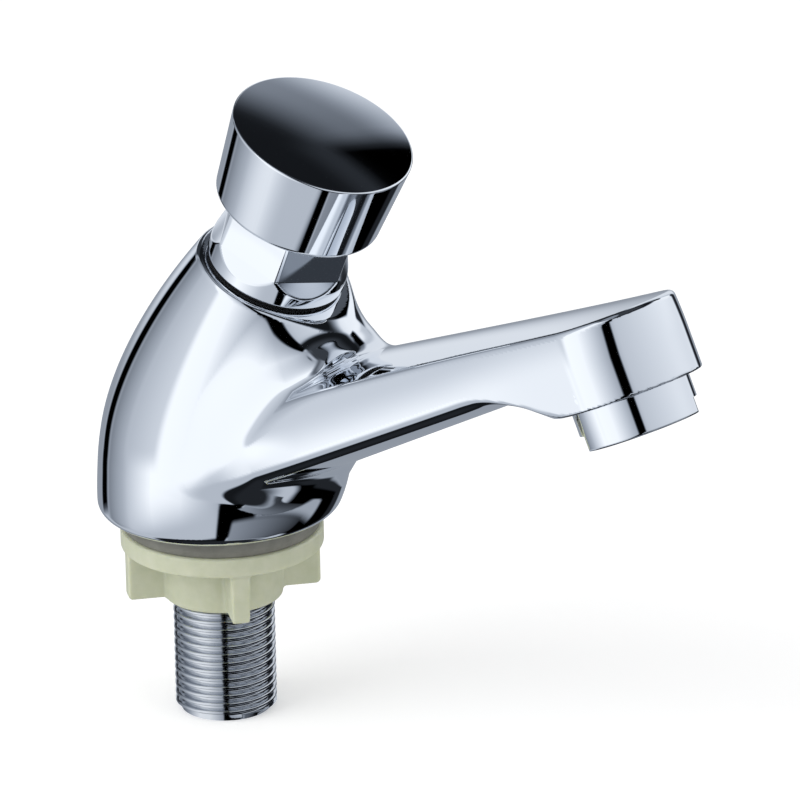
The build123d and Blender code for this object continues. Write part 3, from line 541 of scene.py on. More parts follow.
def column_radius(share):
    """Radius along the centre line: a quarter ellipse up to the belly, then a power curve."""
    down = np.clip(1.0 - share / BELLY_SHARE, 0.0, 1.0)
    up_share = np.clip((share - BELLY_SHARE) / (1.0 - BELLY_SHARE), 0.0, 1.0)
    below = FOOT_FLARE + (BELLY_RADIUS - FOOT_FLARE) * np.sqrt(1.0 - down ** 2)
    softened = np.hypot(up_share, BELLY_SOFTNESS) - BELLY_SOFTNESS
    softened = softened / (math.hypot(1.0, BELLY_SOFTNESS) - BELLY_SOFTNESS)
    above = BELLY_RADIUS - (BELLY_RADIUS - COLLAR_RADIUS) * softened ** SHOULDER_POWER
    return np.where(share < BELLY_SHARE, below, above)


def column(points):
    """Distance from the nearest place on the centre line less the radius there. Near the foot
    the whole section moves back a little, by a square of the height that is left."""
    y, z = points[..., 1], points[..., 2]
    x = points[..., 0] + FOOT_SHIFT * np.clip(1.0 - z / FOOT_SHIFT_HEIGHT, 0.0, FOOT_SHIFT_LIMIT) ** 2
    share = np.clip(z / COLLAR[2], 0.0, 1.0)
    bend_x = 2 * COLLAR[0]
    bend_z = 2 * COLLAR[2] - 4 * CENTRE_RISE
    for _ in range(NEWTON_ROUNDS):
        line_x, line_z = centre_line(share)
        slope_x = 2 * share * COLLAR[0]
        slope_z = 2 * (1 - 2 * share) * CENTRE_RISE + 2 * share * COLLAR[2]
        miss = (x - line_x) * slope_x + (z - line_z) * slope_z
        rate = (x - line_x) * bend_x + (z - line_z) * bend_z - slope_x ** 2 - slope_z ** 2
        share = np.clip(share - miss / np.minimum(rate, STEADY_RATE), CURVE_START, CURVE_END)
    line_x, line_z = centre_line(share)
    away = np.sqrt((x - line_x) ** 2 + y ** 2 + (z - line_z) ** 2)
    return away - column_radius(np.interp(share, table_step, table_share))


print("centre line", round(float(table_length[-1]), 1), "mm long")

# %% [markdown]
# ## The spout
#
# The spout is a bar with a round nose that climbs from the column's waist to the outlet. It could
# be lofted through sections, but its top is crowned, its underside sags and its edges soften
# towards the root, and each of these is one short line in a field. Its side wall also tucks in
# under the edge near the root and leans in a little as it goes up, as the polisher leaves it.

# %% Spout sizes
HEAD_RADIUS = 15.1
NECK_WIDENING = 0.0724
NECK_START = 24.0
NECK_SOFTNESS = 6.0
HEAD_EDGE, ROOT_EDGE = 16.2, 20.1
HEAD_CROWN, ROOT_CROWN = 1.1, 5.5
NECK_UNDER, ROOT_UNDER = 5.8, 1.4
NECK_SAG, ROOT_SAG = 2.4, 3.9
ROOT_HALF_WIDTH = 20.7
RAMP_RIM = 15.4
RAMP_SLOPE = math.radians(40.0)
HEAD_ROUNDING, ROOT_ROUNDING = 1.0, 10.0
ROUNDING_START = 62.0
UNDER_ROUNDING = 2.4
HEEL_CENTRE = 17.0
FLARE, FLARE_LENGTH = 1.4, 14.0
TUCK, TUCK_REACH, TUCK_HEIGHTS = 2.0, (72.0, 98.0), (2.0, 15.0)
SIDE_CROWN, CROWN_START = 0.40, 8.5
RAMP_HOLLOW = 4.0
RIM_ROUNDING = 0.5
BEYOND_ENDS = 0.2
print("spout", round(float(ROOT_DISTANCE), 1), "mm from its root to the outlet's axis")


# %% Spout
def between(head_value, root_value, share):
    """A size that runs evenly from the head to the root."""
    return head_value + (root_value - head_value) * share


def spout(points):
    """The largest of three distances with rounded edges: from the side wall, which is the plan's
    half width and closes round behind the heel, from the crowned top, and from the underside,
    which is a sagging belly that drops over a ramp to the flat rim of the head."""
    local = points - OUTLET
    along, height, across = local @ SPOUT_ALONG, local @ SPOUT_UP, points[..., 1]
    behind_neck = np.minimum(-along, ROOT_DISTANCE) - NECK_START
    widening = np.logaddexp(0.0, behind_neck / NECK_SOFTNESS) * NECK_SOFTNESS * NECK_WIDENING
    widening += FLARE * np.exp(np.minimum(-along - ROOT_DISTANCE, 0.0) / FLARE_LENGTH)
    nose = np.hypot(np.maximum(along, 0.0), across) - HEAD_RADIUS
    lean_in = SIDE_CROWN * (np.maximum(height - CROWN_START, 0.0) / CROWN_START) ** 2
    behind = np.maximum(HEEL_CENTRE - points[..., 0], 0.0)
    widening -= TUCK * ease(-along, *TUCK_REACH) * (1.0 - ease(height, *TUCK_HEIGHTS))
    side = np.where(along > 0.0, nose, np.hypot(behind, across) - HEAD_RADIUS - widening) + lean_in
    share = np.clip(-along / ROOT_DISTANCE, -BEYOND_ENDS, 1.0 + BEYOND_ENDS)
    bulge = (across / between(HEAD_RADIUS, ROOT_HALF_WIDTH, share)) ** 2
    crest = between(HEAD_EDGE, ROOT_EDGE, share) + between(HEAD_CROWN, ROOT_CROWN, share) * (1.0 - bulge)
    belly = between(NECK_UNDER, ROOT_UNDER, share) + between(NECK_SAG, ROOT_SAG, share) * bulge
    ramp = (np.hypot(along, across) - RAMP_RIM) * math.sin(RAMP_SLOPE) - height * math.cos(RAMP_SLOPE)
    under = smooth_most(smooth_least(belly - height, ramp, RAMP_HOLLOW), -height, RIM_ROUNDING)
    top_rounding = between(HEAD_ROUNDING, ROOT_ROUNDING, ease(-along, ROUNDING_START, ROOT_DISTANCE))
    under_rounding = between(RIM_ROUNDING, UNDER_ROUNDING, ease(-along, RAMP_RIM, 2.0 * RAMP_RIM))
    return smooth_most(smooth_most(side, height - crest, top_rounding), under, under_rounding)


print("the spout's field at the outlet", round(float(spout(OUTLET)), 2), "mm")

# %% [markdown]
# ## The whole casting
#
# One radius for the hollow between column and spout looks wrong: the real casting is tight at the
# heel, has a small fillet down each side and a wide, deep valley in front of the collar. So the
# radius itself is eased from one to the next by the height above the spout's plane and by the
# distance forwards, slowly enough that the chrome shows no kink. Last come the flat seat that the
# bonnet stands on, cut only near the collar, and the rounded edge of the foot.

# %% Body field
VALLEY_HOLLOW = 17.0
VALLEY_HEIGHTS = (12.0, 27.0)
VALLEY_REACH = (0.0, 26.0)
VALLEY_FALL, VALLEY_WIDTHS = 0.2, (8.0, 22.0)
SIDE_HOLLOW = 4.5
SIDE_HEIGHTS = (1.0, 12.0)
UNDER_HOLLOW, HEEL_HOLLOW = 6.0, 2.0
COLLAR_ROUNDING = 0.9
SEAT_REACH = 22.0
FOOT_ROUNDING = 3.0


def body_field(points):
    """Column and spout joined by a hollow whose radius is small under and beside the spout and
    wide in the valley above it, then cut flat at the collar and at the foot."""
    height = (points - OUTLET) @ SPOUT_UP
    under_hollow = between(HEEL_HOLLOW, UNDER_HOLLOW, ease(points[..., 0], HEEL_CENTRE, BELLY_RADIUS))
    hollow = between(under_hollow, SIDE_HOLLOW, ease(height, *SIDE_HEIGHTS))
    valley = ease(height, *VALLEY_HEIGHTS) * ease(points[..., 0], *VALLEY_REACH)
    valley = valley * (1.0 - VALLEY_FALL * ease(np.abs(points[..., 1]), *VALLEY_WIDTHS))
    hollow = hollow + (VALLEY_HOLLOW - SIDE_HOLLOW) * valley
    collar = (points - COLLAR) @ BUTTON_AXIS
    joined = smooth_least(column(points), spout(points), hollow)
    aside = np.linalg.norm((points - COLLAR) - collar[..., None] * BUTTON_AXIS, axis=-1)
    trimmed = smooth_most(joined, np.minimum(collar, SEAT_REACH - aside), COLLAR_ROUNDING)
    return smooth_most(trimmed, -points[..., 2], FOOT_ROUNDING)


print("the body's field at the collar's middle", round(float(body_field(COLLAR)), 2), "mm")

# %% [markdown]
# ## From a field to a mesh
#
# A surface net puts one point in each small cell that the surface crosses and one quad round each
# grid edge that it crosses, which gives even quads that point outwards and close by themselves.
# Blender's remesher could do this too, but the points would lie up to half a cell off. A few
# Newton steps along the field's slope then move every point onto the surface, and the slope is
# the normal as well, so the mirror shows no facets.

# %% Surface net
def edge_crossings(values, axis):
    """Where the field changes sign between neighbours along an axis, and at what share."""
    count = values.shape[axis]
    first = np.take(values, np.arange(count - 1), axis)
    second = np.take(values, np.arange(1, count), axis)
    found = np.nonzero((first < 0) != (second < 0))
    one, two = first[found], second[found]
    return np.stack(found, -1), one / (one - two), one < 0


def surface_net(values, origin, step):
    """One point in each cell that the surface crosses, the mean of the crossings on its edges,
    and one quad round each grid edge that it crosses."""
    shape = np.array(values.shape) - 1
    sums = np.zeros((shape.prod(), 3))
    counts = np.zeros(shape.prod())
    quads = []
    for axis in range(3):
        corner, share, leaving = edge_crossings(values, axis)
        place = corner.astype(float)
        place[:, axis] += share
        one, two = (axis + 1) % 3, (axis + 2) % 3
        cells = []
        for shift_one, shift_two in ((0, 0), (-1, 0), (-1, -1), (0, -1)):
            cell = corner.copy()
            cell[:, one] += shift_one
            cell[:, two] += shift_two
            cells.append(np.ravel_multi_index(cell.T, shape))
        for cell in cells:
            counts += np.bincount(cell, minlength=len(counts))
            for k in range(3):
                sums[:, k] += np.bincount(cell, weights=place[:, k], minlength=len(counts))
        ring = np.stack(cells, -1)
        quads.append(np.where(leaving[:, None], ring, ring[:, ::-1]))
    used = counts > 0
    number = np.cumsum(used) - 1
    points = origin + sums[used] / counts[used][:, None] * step
    return points, number[np.concatenate(quads)]


print("surface net ready")


# %% Settling onto the field
SLOPE_FLOOR = 0.05
LONGEST_MOVE = 0.5
SLABS = 24


def slope(field, points, reach=0.02):
    """Gradient of the field by central differences."""
    return np.stack([(field(points + reach * way) - field(points - reach * way)) / (2 * reach)
                     for way in np.eye(3)], -1)


def settle(field, points, rounds=4):
    """Newton steps: each point moves against the slope by the field over the slope's square."""
    for _ in range(rounds):
        steepness = slope(field, points)
        move = field(points) / np.maximum((steepness ** 2).sum(-1), SLOPE_FLOOR)
        points = points - steepness * np.clip(move, -LONGEST_MOVE, LONGEST_MOVE)[:, None]
    return points


def net_mesh(name, field, low, high, step):
    """A mesh of a field's surface inside a box, and its points, settled onto the surface."""
    axes = [np.arange(low[k], high[k], step) for k in range(3)]
    grid = np.stack(np.meshgrid(*axes, indexing="ij"), -1)
    values = np.concatenate([field(slab) for slab in np.array_split(grid, SLABS)])
    points, faces = surface_net(values, np.asarray(low, float), step)
    points = settle(field, points)
    return mesh_from(name, points, faces), points


print("settling ready")

# %% Body mesh
BODY_STEP = 0.5
BODY_LOW, BODY_HIGH = (-27.0, -29.0, -1.6), (124.5, 29.4, 75.0)
body_mesh, body_points = net_mesh("tap_casting", body_field, BODY_LOW, BODY_HIGH, BODY_STEP)
piece("tap_casting", body_mesh, body_chrome, "body", ["tap_body"])
normals = slope(body_field, body_points)
normals /= np.linalg.norm(normals, axis=1)[:, None]
body_mesh.normals_split_custom_set_from_vertices(normals)
print("farthest point from the surface", round(float(np.abs(body_field(body_points)).max()), 4), "mm")

# %% [markdown]
# ## Turned pieces
#
# The button, the bonnet and the outlet ring are turned on a lathe, so their profiles are drawn
# as corners, each a row of radius, height and rounding. A rounding is an arc that touches both
# sides. A bevel on the finished mesh could round them too, but it gives every edge one width.
# Extra rows close to each arc keep the flat parts flat in the mirror.

# %% Profiles
ARC_STEPS = 6
SUPPORT = 0.05


def rounded(rows, closed=True):
    """A profile through corners, each replaced by an arc of its rounding that touches both sides.
    The arc's points are its two ends, weighed by the sines of the angles to them."""
    rows = np.asarray(rows, float)
    corners, roundings = rows[:, :2], rows[:, 2]
    points = []
    for index, radius in enumerate(roundings):
        here = corners[index]
        if radius == 0.0 or (not closed and index in (0, len(rows) - 1)):
            points.append(here[None])
            continue
        before = corners[index - 1] - here
        after = corners[(index + 1) % len(corners)] - here
        before_length, after_length = np.linalg.norm(before), np.linalg.norm(after)
        before, after = before / before_length, after / after_length
        half_turn = math.acos(np.clip(-before @ after, -1.0, 1.0)) / 2.0
        reach = radius * math.tan(half_turn)
        middle = before + after
        centre = here + middle / np.linalg.norm(middle) * radius / math.cos(half_turn)
        start, end = here + before * reach - centre, here + after * reach - centre
        share = np.linspace(0.0, 1.0, ARC_STEPS + 1)[:, None]
        turn = 2.0 * half_turn
        arc = centre + (np.sin((1 - share) * turn) * start + np.sin(share * turn) * end) / math.sin(turn)
        lead_in = here + before * min(reach + SUPPORT, 0.5 * (reach + before_length))
        lead_out = here + after * min(reach + SUPPORT, 0.5 * (reach + after_length))
        points.append(np.concatenate([lead_in[None], arc, lead_out[None]]))
    return np.concatenate(points)


print("a square corner gets", len(rounded([(0, 0, 0), (1, 0, 0.2), (1, 1, 0)])) - 2, "points")

# %% [markdown]
# ## Round the axis
#
# The profile goes round its axis in even steps, as whole arrays: the cosine and the sine of each
# angle times the radius. Where a piece has spanner flats, the radius also depends on the angle: it
# is the smaller of the turned radius and the distance to the flat.

# %% Turning
AROUND = 192
CREASE = math.radians(35.0)


def grid_mesh(name, radius, height, angle, place, closed, crease):
    """A mesh of radius and height on a grid of rows and angles, moved to its axis."""
    points = np.stack([radius * np.cos(angle), radius * np.sin(angle), height], -1).reshape(-1, 3)
    mesh = mesh_from(name, place(points), grid_quads(*radius.shape, closed))
    tidy(mesh)
    mesh.set_sharp_from_angle(angle=crease)
    return mesh


def turned_mesh(name, profile, place, cut=None, closed=True):
    """A profile of (radius, height) points carried round an axis. A cut gives a largest radius
    for each height and angle, as a spanner flat does."""
    angle = np.linspace(0.0, 2.0 * math.pi, AROUND, endpoint=False)
    radius = np.repeat(profile[:, :1], AROUND, 1)
    height = np.repeat(profile[:, 1:2], AROUND, 1)
    if cut is not None:
        radius = np.minimum(radius, cut(height, angle[None, :]))
    return grid_mesh(name, radius, height, angle, place, closed, CREASE)


print("turning ready,", AROUND, "points a turn")

# %% [markdown]
# ## The push button
#
# A flared cap with a nearly flat dome on top. Its top edge is almost sharp and catches a thin
# line of light; its lower edge is rounded over, because that is where the thumb could catch.
# Inside is the bore that slides over the bonnet, and the boss that holds the spindle. The dome is
# an arc of a large circle with rows of its own, so that it mirrors the ceiling without a flat spot.

# %% Push button
BUTTON_BOTTOM, BUTTON_TOP = 15.9, 34.1
BUTTON_LOW_RADIUS, BUTTON_HIGH_RADIUS = 17.1, 18.8
BUTTON_DOME = 0.9
BUTTON_BORE, BUTTON_CEILING = 15.0, 30.5
BOSS_RADIUS, BOSS_BOTTOM = 7.0, 26.9
DOME_ROWS = 26
LOW_EDGE_ROUNDING, TOP_EDGE_ROUNDING, BORE_ROUNDING = 1.2, 0.4, 0.3
dome_x = BUTTON_HIGH_RADIUS * np.linspace(0.0, 1.0, DOME_ROWS)
dome_radius = (BUTTON_HIGH_RADIUS ** 2 + BUTTON_DOME ** 2) / (2 * BUTTON_DOME)
dome_z = BUTTON_TOP + BUTTON_DOME - dome_radius + np.sqrt(dome_radius ** 2 - dome_x ** 2)
dome_rows = np.column_stack([dome_x, dome_z])
button_profile = rounded([
    (0, BOSS_BOTTOM, 0), (BOSS_RADIUS, BOSS_BOTTOM, BORE_ROUNDING),
    (BOSS_RADIUS, BUTTON_CEILING, BORE_ROUNDING), (BUTTON_BORE, BUTTON_CEILING, BORE_ROUNDING),
    (BUTTON_BORE, BUTTON_BOTTOM, BORE_ROUNDING),
    (BUTTON_LOW_RADIUS, BUTTON_BOTTOM, LOW_EDGE_ROUNDING),
    (BUTTON_HIGH_RADIUS, BUTTON_TOP, TOP_EDGE_ROUNDING), (*dome_rows[-2], 0),
], closed=False)
button_profile = np.concatenate([button_profile, dome_rows[-3::-1]])
button_mesh = turned_mesh("button_cap", button_profile, on_button, closed=False)
piece("button_cap", button_mesh, turned_chrome, "plunger", ["push_button"])

# %% [markdown]
# ## The bonnet
#
# The bonnet screws the cartridge down into the body. It is a turned barrel with six flats milled
# in its middle for a spanner, which leave half-moon ledges above and below. Below a flat the
# cutter rises out of the metal on a slope, so that ledge is an open curve. A boolean with a
# hexagon could cut it, but the smaller of two radii gives the same edge with clean rows.

# %% Spanner flats
BARREL_RADIUS = 14.4
HEX_HALF = 12.45
HEX_BOTTOM, HEX_TOP = 6.4, 16.6
RUNOUT = 0.62
HEX_TURN = math.radians(-24.0)


def hex_cut(height, angle):
    """Distance to the nearest of six flats, which slopes outwards below them as the cutter ran out."""
    sector = math.pi / 3.0
    off_flat = (angle - HEX_TURN + sector / 2.0) % sector - sector / 2.0
    flat = HEX_HALF / np.cos(off_flat)
    flat = flat + RUNOUT * np.maximum(HEX_BOTTOM - height, 0.0)
    return np.where(height < HEX_TOP, flat, np.inf)


print("flats", round(2.0 * HEX_HALF, 1), "mm apart")

# %% Bonnet
BONNET_FOOT, BONNET_TOP = 0.8, 18.4
SKIRT_RADIUS, SKIRT_BOTTOM = 12.95, -12.0
CAVITY_RADIUS = 9.4
BUSH_RADIUS = 7.0
WEB_BOTTOM, WEB_TOP = 6.0, 8.0
WEB_BORE = 4.3
CLIP_RADIUS, CLIP_BOTTOM, CLIP_TOP = 7.5, 17.2, 18.0
RUNOUT_START, RUNOUT_ROWS = 3.0, 18
LEDGE = 0.02
RIM_EDGE, SKIRT_EDGE, BORE_EDGE = 0.4, 0.3, 0.2
runout = [(BARREL_RADIUS, height, 0) for height in np.linspace(RUNOUT_START, HEX_BOTTOM, RUNOUT_ROWS)]
bonnet_profile = rounded([
    (CAVITY_RADIUS, SKIRT_BOTTOM, BORE_EDGE), (SKIRT_RADIUS, SKIRT_BOTTOM, SKIRT_EDGE),
    (SKIRT_RADIUS, BONNET_FOOT, 0), (BARREL_RADIUS, BONNET_FOOT, RIM_EDGE), *runout,
    (BARREL_RADIUS, HEX_TOP - LEDGE, 0), (BARREL_RADIUS, HEX_TOP, 0),
    (BARREL_RADIUS, BONNET_TOP, RIM_EDGE), (BUSH_RADIUS, BONNET_TOP, BORE_EDGE),
    (BUSH_RADIUS, CLIP_TOP, 0), (CLIP_RADIUS, CLIP_TOP, 0),
    (CLIP_RADIUS, CLIP_BOTTOM, 0), (BUSH_RADIUS, CLIP_BOTTOM, 0), (BUSH_RADIUS, WEB_TOP, 0),
    (WEB_BORE, WEB_TOP, 0), (WEB_BORE, WEB_BOTTOM, 0), (CAVITY_RADIUS, WEB_BOTTOM, 0),
])
bonnet_mesh = turned_mesh("bonnet_barrel", bonnet_profile, on_button, cut=hex_cut)
piece("bonnet_barrel", bonnet_mesh, turned_chrome, "body", ["bonnet_nut"])

# %% [markdown]
# ## The outlet ring
#
# The housing of the aerator screws up into the head. Its lower part has two flats for a spanner,
# made like the bonnet's: the smaller of the turned radius and the distance to the nearer flat.

# %% Outlet ring
RING_RADIUS, RING_HEIGHT = 12.1, 8.0
RING_FLAT_HALF, RING_FLAT_HEIGHT = 11.3, 3.2
RING_FLAT_TURN = math.radians(44.0)
RING_LEDGE_RADIUS, RING_LEDGE_HEIGHT = 8.6, 1.0
RING_BORE = 9.5
RING_THREAD_RADIUS, RING_THREAD_HEIGHT = 10.95, 6.0
RING_SHOULDER = -0.05
LIP_ROUNDING, TOP_ROUNDING, RING_BORE_ROUNDING = 0.5, 0.3, 0.2
SMALLEST_COSINE = 0.1
ring_step = RING_FLAT_HEIGHT - RING_HEIGHT
ledge_top = RING_LEDGE_HEIGHT - RING_HEIGHT


def ring_cut(height, angle):
    """Distance to the nearer of two flats on the ring's lower part, and no limit above."""
    flat = RING_FLAT_HALF / np.maximum(np.abs(np.cos(angle - RING_FLAT_TURN)), SMALLEST_COSINE)
    return np.where(height < ring_step, flat, np.inf)


ring_profile = rounded([
    (RING_LEDGE_RADIUS, -RING_HEIGHT, RING_BORE_ROUNDING), (RING_RADIUS, -RING_HEIGHT, LIP_ROUNDING),
    (RING_RADIUS, ring_step - LEDGE, 0), (RING_RADIUS, ring_step, 0),
    (RING_RADIUS, RING_SHOULDER, RING_BORE_ROUNDING), (RING_THREAD_RADIUS, RING_SHOULDER, 0),
    (RING_THREAD_RADIUS, RING_THREAD_HEIGHT, TOP_ROUNDING),
    (RING_BORE, RING_THREAD_HEIGHT, RING_BORE_ROUNDING), (RING_BORE, ledge_top, 0),
    (RING_LEDGE_RADIUS, ledge_top, RING_BORE_ROUNDING),
])
ring_mesh = turned_mesh("outlet_housing", ring_profile, on_outlet, cut=ring_cut)
piece("outlet_housing", ring_mesh, turned_chrome, "body", ["outlet_ring"])

# %% [markdown]
# ## The threaded tail
#
# A half inch pipe thread is a groove wound round the tail at 1.814 mm a turn. The radius at any
# place is a wave of the height less the pitch times the turns made so far, so one formula draws
# the whole helix. It fades out at the plain top and at the chamfered end, as a die leaves it. A
# screw modifier on a tooth's outline is the usual way, but it can't fade the thread out.

# %% Thread
THREAD_PITCH = 1.814
CREST_RADIUS, ROOT_RADIUS = 10.4775, 9.3155
TAIL_FOOT = floor_height
PLAIN_TOP = -1.2
END_CHAMFER = 1.0
FLAT_SHARE = 0.12
ROWS_PER_TURN = 20
thread_rows = int((PLAIN_TOP - TAIL_FOOT) / THREAD_PITCH * ROWS_PER_TURN)
height_row = np.linspace(PLAIN_TOP, TAIL_FOOT + END_CHAMFER, thread_rows)
angle_row = np.linspace(0.0, 2.0 * math.pi, AROUND // 2, endpoint=False)
turns = height_row[:, None] / THREAD_PITCH - angle_row[None, :] / (2.0 * math.pi)
wave = 0.5 + 0.5 * np.cos(2.0 * math.pi * turns)
depth = (CREST_RADIUS - ROOT_RADIUS) * ease(wave, FLAT_SHARE, 1.0 - FLAT_SHARE)
depth *= ease(PLAIN_TOP - height_row, 0.0, THREAD_PITCH)[:, None]
thread_radius = CREST_RADIUS - depth
chamfer_room = CREST_RADIUS - END_CHAMFER + (height_row - TAIL_FOOT)
thread_radius = np.minimum(thread_radius, chamfer_room[:, None])
print("thread", thread_rows, "rows,", ROWS_PER_TURN, "a turn")

# %% Tail
TAIL_BORE, BORE_CHAMFER = 6.5, 0.4
SPIGOT_RADIUS, SPIGOT_TOP = 9.0, 6.0
TOP_OVERLAP = 0.02
THREAD_CREASE = math.radians(60.0)
rows_above = np.array([(TAIL_BORE, SPIGOT_TOP), (SPIGOT_RADIUS, SPIGOT_TOP), (SPIGOT_RADIUS, 0.0),
                       (CREST_RADIUS, 0.0), (CREST_RADIUS, PLAIN_TOP + TOP_OVERLAP)])
rows_below = np.array([(ROOT_RADIUS, TAIL_FOOT), (TAIL_BORE + BORE_CHAMFER, TAIL_FOOT),
                       (TAIL_BORE, TAIL_FOOT + BORE_CHAMFER)])


def all_round(values):
    """Each row's value at every angle of the tail."""
    return np.repeat(values[:, None], len(angle_row), 1)


tail_radius = np.concatenate([all_round(rows_above[:, 0]), thread_radius, all_round(rows_below[:, 0])])
tail_height = all_round(np.concatenate([rows_above[:, 1], height_row, rows_below[:, 1]]))
tail_mesh = grid_mesh("threaded_tail", tail_radius, tail_height, angle_row, on_tail, True, THREAD_CREASE)
piece("threaded_tail", tail_mesh, thread_chrome, "body", ["inlet_tail"])

# %% [markdown]
# ## Plastic and rubber
#
# The nut is a nylon moulding: ivory, slightly see-through, with a faint mottle and a soft sheen.
# Light enters it and comes out again close by, so it gets a little subsurface scattering. The
# rubbers are matt with a fine grain. Each finish mixes two close colours by a noise, as no real
# batch of plastic or rubber is quite even. A single colour would look like a toy's.

# %% Soft finishes
CLOUD_SCALE, SHEEN_SCALE, PORE_SCALE = 260.0, 420.0, 1800.0
PORE_STRENGTH = 0.6
SCATTER_WEIGHT = 0.35
SCATTER_COLOURS = (1.0, 0.9, 0.5)


def mottled(tree, shader, first, second, scale):
    """Mixes two close colours by a noise and feeds them to the base colour."""
    cloud = noise_of(tree, scale, detail=4.0, roughness=0.6)
    mix = tree.nodes.new("ShaderNodeMix")
    mix.data_type = "RGBA"
    dial(mix, {"A": (*first, 1.0), "B": (*second, 1.0)})
    spread(tree, cloud.outputs["Fac"], 0.0, 1.0, mix.inputs["Factor"])
    tree.links.new(mix.outputs["Result"], shader.inputs["Base Color"])


def moulding(name, first, second, smooth, dull, grain, depth=0.0, sheen_level=0.5):
    """A moulded plastic or rubber: two close colours, an uneven sheen and a fine grain."""
    made, tree, shader = new_material(name)
    mottled(tree, shader, first, second, CLOUD_SCALE)
    sheen = noise_of(tree, SHEEN_SCALE, detail=3.0)
    spread(tree, sheen.outputs["Fac"], smooth, dull, shader.inputs["Roughness"])
    pores = noise_of(tree, PORE_SCALE, detail=2.0)
    bump(tree, shader, pores.outputs["Fac"], grain, PORE_STRENGTH)
    dial(shader, {"Specular IOR Level": sheen_level})
    if depth > 0.0:
        dial(shader, {"Subsurface Weight": SCATTER_WEIGHT, "Subsurface Radius": SCATTER_COLOURS,
                      "Subsurface Scale": depth})
    return made


nylon = moulding("ivory_nylon", (0.56, 0.59, 0.43), (0.63, 0.65, 0.50), smooth=0.34, dull=0.50,
                 grain=0.012 * MM, depth=2.0 * MM)
base_rubber = moulding("grey_rubber", (0.17, 0.17, 0.145), (0.23, 0.23, 0.20),
                       smooth=0.42, dull=0.70, grain=0.03 * MM)
black_rubber = moulding("black_rubber", (0.008, 0.008, 0.008), (0.014, 0.014, 0.015),
                        smooth=0.55, dull=0.75, grain=0.004 * MM, sheen_level=0.15)
white_plastic = moulding("white_acetal", (0.74, 0.74, 0.70), (0.80, 0.80, 0.77),
                         smooth=0.35, dull=0.50, grain=0.01 * MM)
fibre = moulding("red_fibre", (0.20, 0.045, 0.022), (0.30, 0.075, 0.035), smooth=0.65, dull=0.85,
                 grain=0.04 * MM)
print("mouldings ready")

# %% [markdown]
# ## Brass and steel
#
# The turned parts inside keep the fine rings of the tool and a patchy sheen where hands and water
# have been. A wave texture draws the rings in bands, and a bump as low as a real tool mark shows
# them only where light grazes.

# %% Turned metal
PATCH_SCALE = 200.0
TOOL_RINGS = 900.0
RING_WANDER = 0.4
TOOL_MARK, TOOL_MARK_STRENGTH = 0.004 * MM, 0.5


def lathe_metal(name, colour, smooth, dull):
    """Bare metal with the faint rings of a turning tool and a patchy sheen."""
    made, tree, shader = new_material(name)
    dial(shader, {"Base Color": (*colour, 1.0), "Metallic": 1.0})
    patches = noise_of(tree, PATCH_SCALE, detail=3.0)
    spread(tree, patches.outputs["Fac"], smooth, dull, shader.inputs["Roughness"])
    place = tree.nodes.new("ShaderNodeTexCoord")
    ring = tree.nodes.new("ShaderNodeTexWave")
    ring.bands_direction = "Z"
    dial(ring, {"Scale": TOOL_RINGS, "Distortion": RING_WANDER})
    tree.links.new(place.outputs["Object"], ring.inputs["Vector"])
    bump(tree, shader, ring.outputs["Fac"], TOOL_MARK, TOOL_MARK_STRENGTH)
    return made


brass = lathe_metal("turned_brass", (0.78, 0.57, 0.25), smooth=0.22, dull=0.38)
steel = lathe_metal("stainless_steel", (0.60, 0.61, 0.63), smooth=0.18, dull=0.32)
print("metals ready")

# %% [markdown]
# ## The base gasket
#
# A flat rubber ring that seals the tap on the basin. It is turned like the metal pieces, with
# edges that are a little soft, and it bulges by a hair where the weight sits on it.

# %% Base gasket
GASKET_RADIUS, GASKET_BORE, GASKET_THICKNESS = 20.2, 10.53, 2.9
GASKET_BULGE, BULGE_ROUNDING = 0.25, 2.0
GASKET_EDGE, GASKET_BORE_EDGE = 0.35, 0.1
gasket_profile = rounded([
    (GASKET_BORE, 0, GASKET_BORE_EDGE), (GASKET_BORE, -GASKET_THICKNESS, GASKET_BORE_EDGE),
    (GASKET_RADIUS, -GASKET_THICKNESS, GASKET_EDGE),
    (GASKET_RADIUS + GASKET_BULGE, -GASKET_THICKNESS / 2, BULGE_ROUNDING),
    (GASKET_RADIUS, 0, GASKET_EDGE),
])
gasket_mesh = turned_mesh("deck_gasket", gasket_profile, on_tail)
piece("deck_gasket", gasket_mesh, base_rubber, "body", ["base_gasket"])

# %% [markdown]
# ## The bonnet gasket
#
# A thin black ring lies between the bonnet and the collar. It is squeezed flat and its edge stays
# a little inside the barrel, so from outside it is only a dark line. The ring has to be a piece
# of its own with a real gap in front of it, because a dark line painted on chrome would mirror.

# %% Bonnet gasket
SEAL_RECESS, SEAL_THICKNESS, SEAL_GAP = 0.7, 0.8, 0.05
SEAL_EDGE, SEAL_BORE_EDGE = 0.15, 0.1
seal_bore, seal_radius = SKIRT_RADIUS + SEAL_GAP, BARREL_RADIUS - SEAL_RECESS
seal_profile = rounded([
    (seal_bore, 0, SEAL_BORE_EDGE), (seal_radius, 0, SEAL_EDGE),
    (seal_radius, SEAL_THICKNESS, SEAL_EDGE), (seal_bore, SEAL_THICKNESS, SEAL_BORE_EDGE),
])
seal_mesh = turned_mesh("bonnet_seal", seal_profile, on_button)
piece("bonnet_seal", seal_mesh, black_rubber, "body", ["bonnet_gasket"])

# %% [markdown]
# ## The backnut
#
# A plastic backnut is moulded in one shot: a flange that presses on the basin from below, a
# hub with the thread, and four flat wings for the fingers. The mould leaves a small radius at
# every edge, a fillet in every corner and a little draft on the wings. All of that comes out of
# one distance field, in the same way as the body: discs and plates, joined by smooth minimums.
# Booleans and bevels would give the same plain shape, but not the draft and the even fillets.

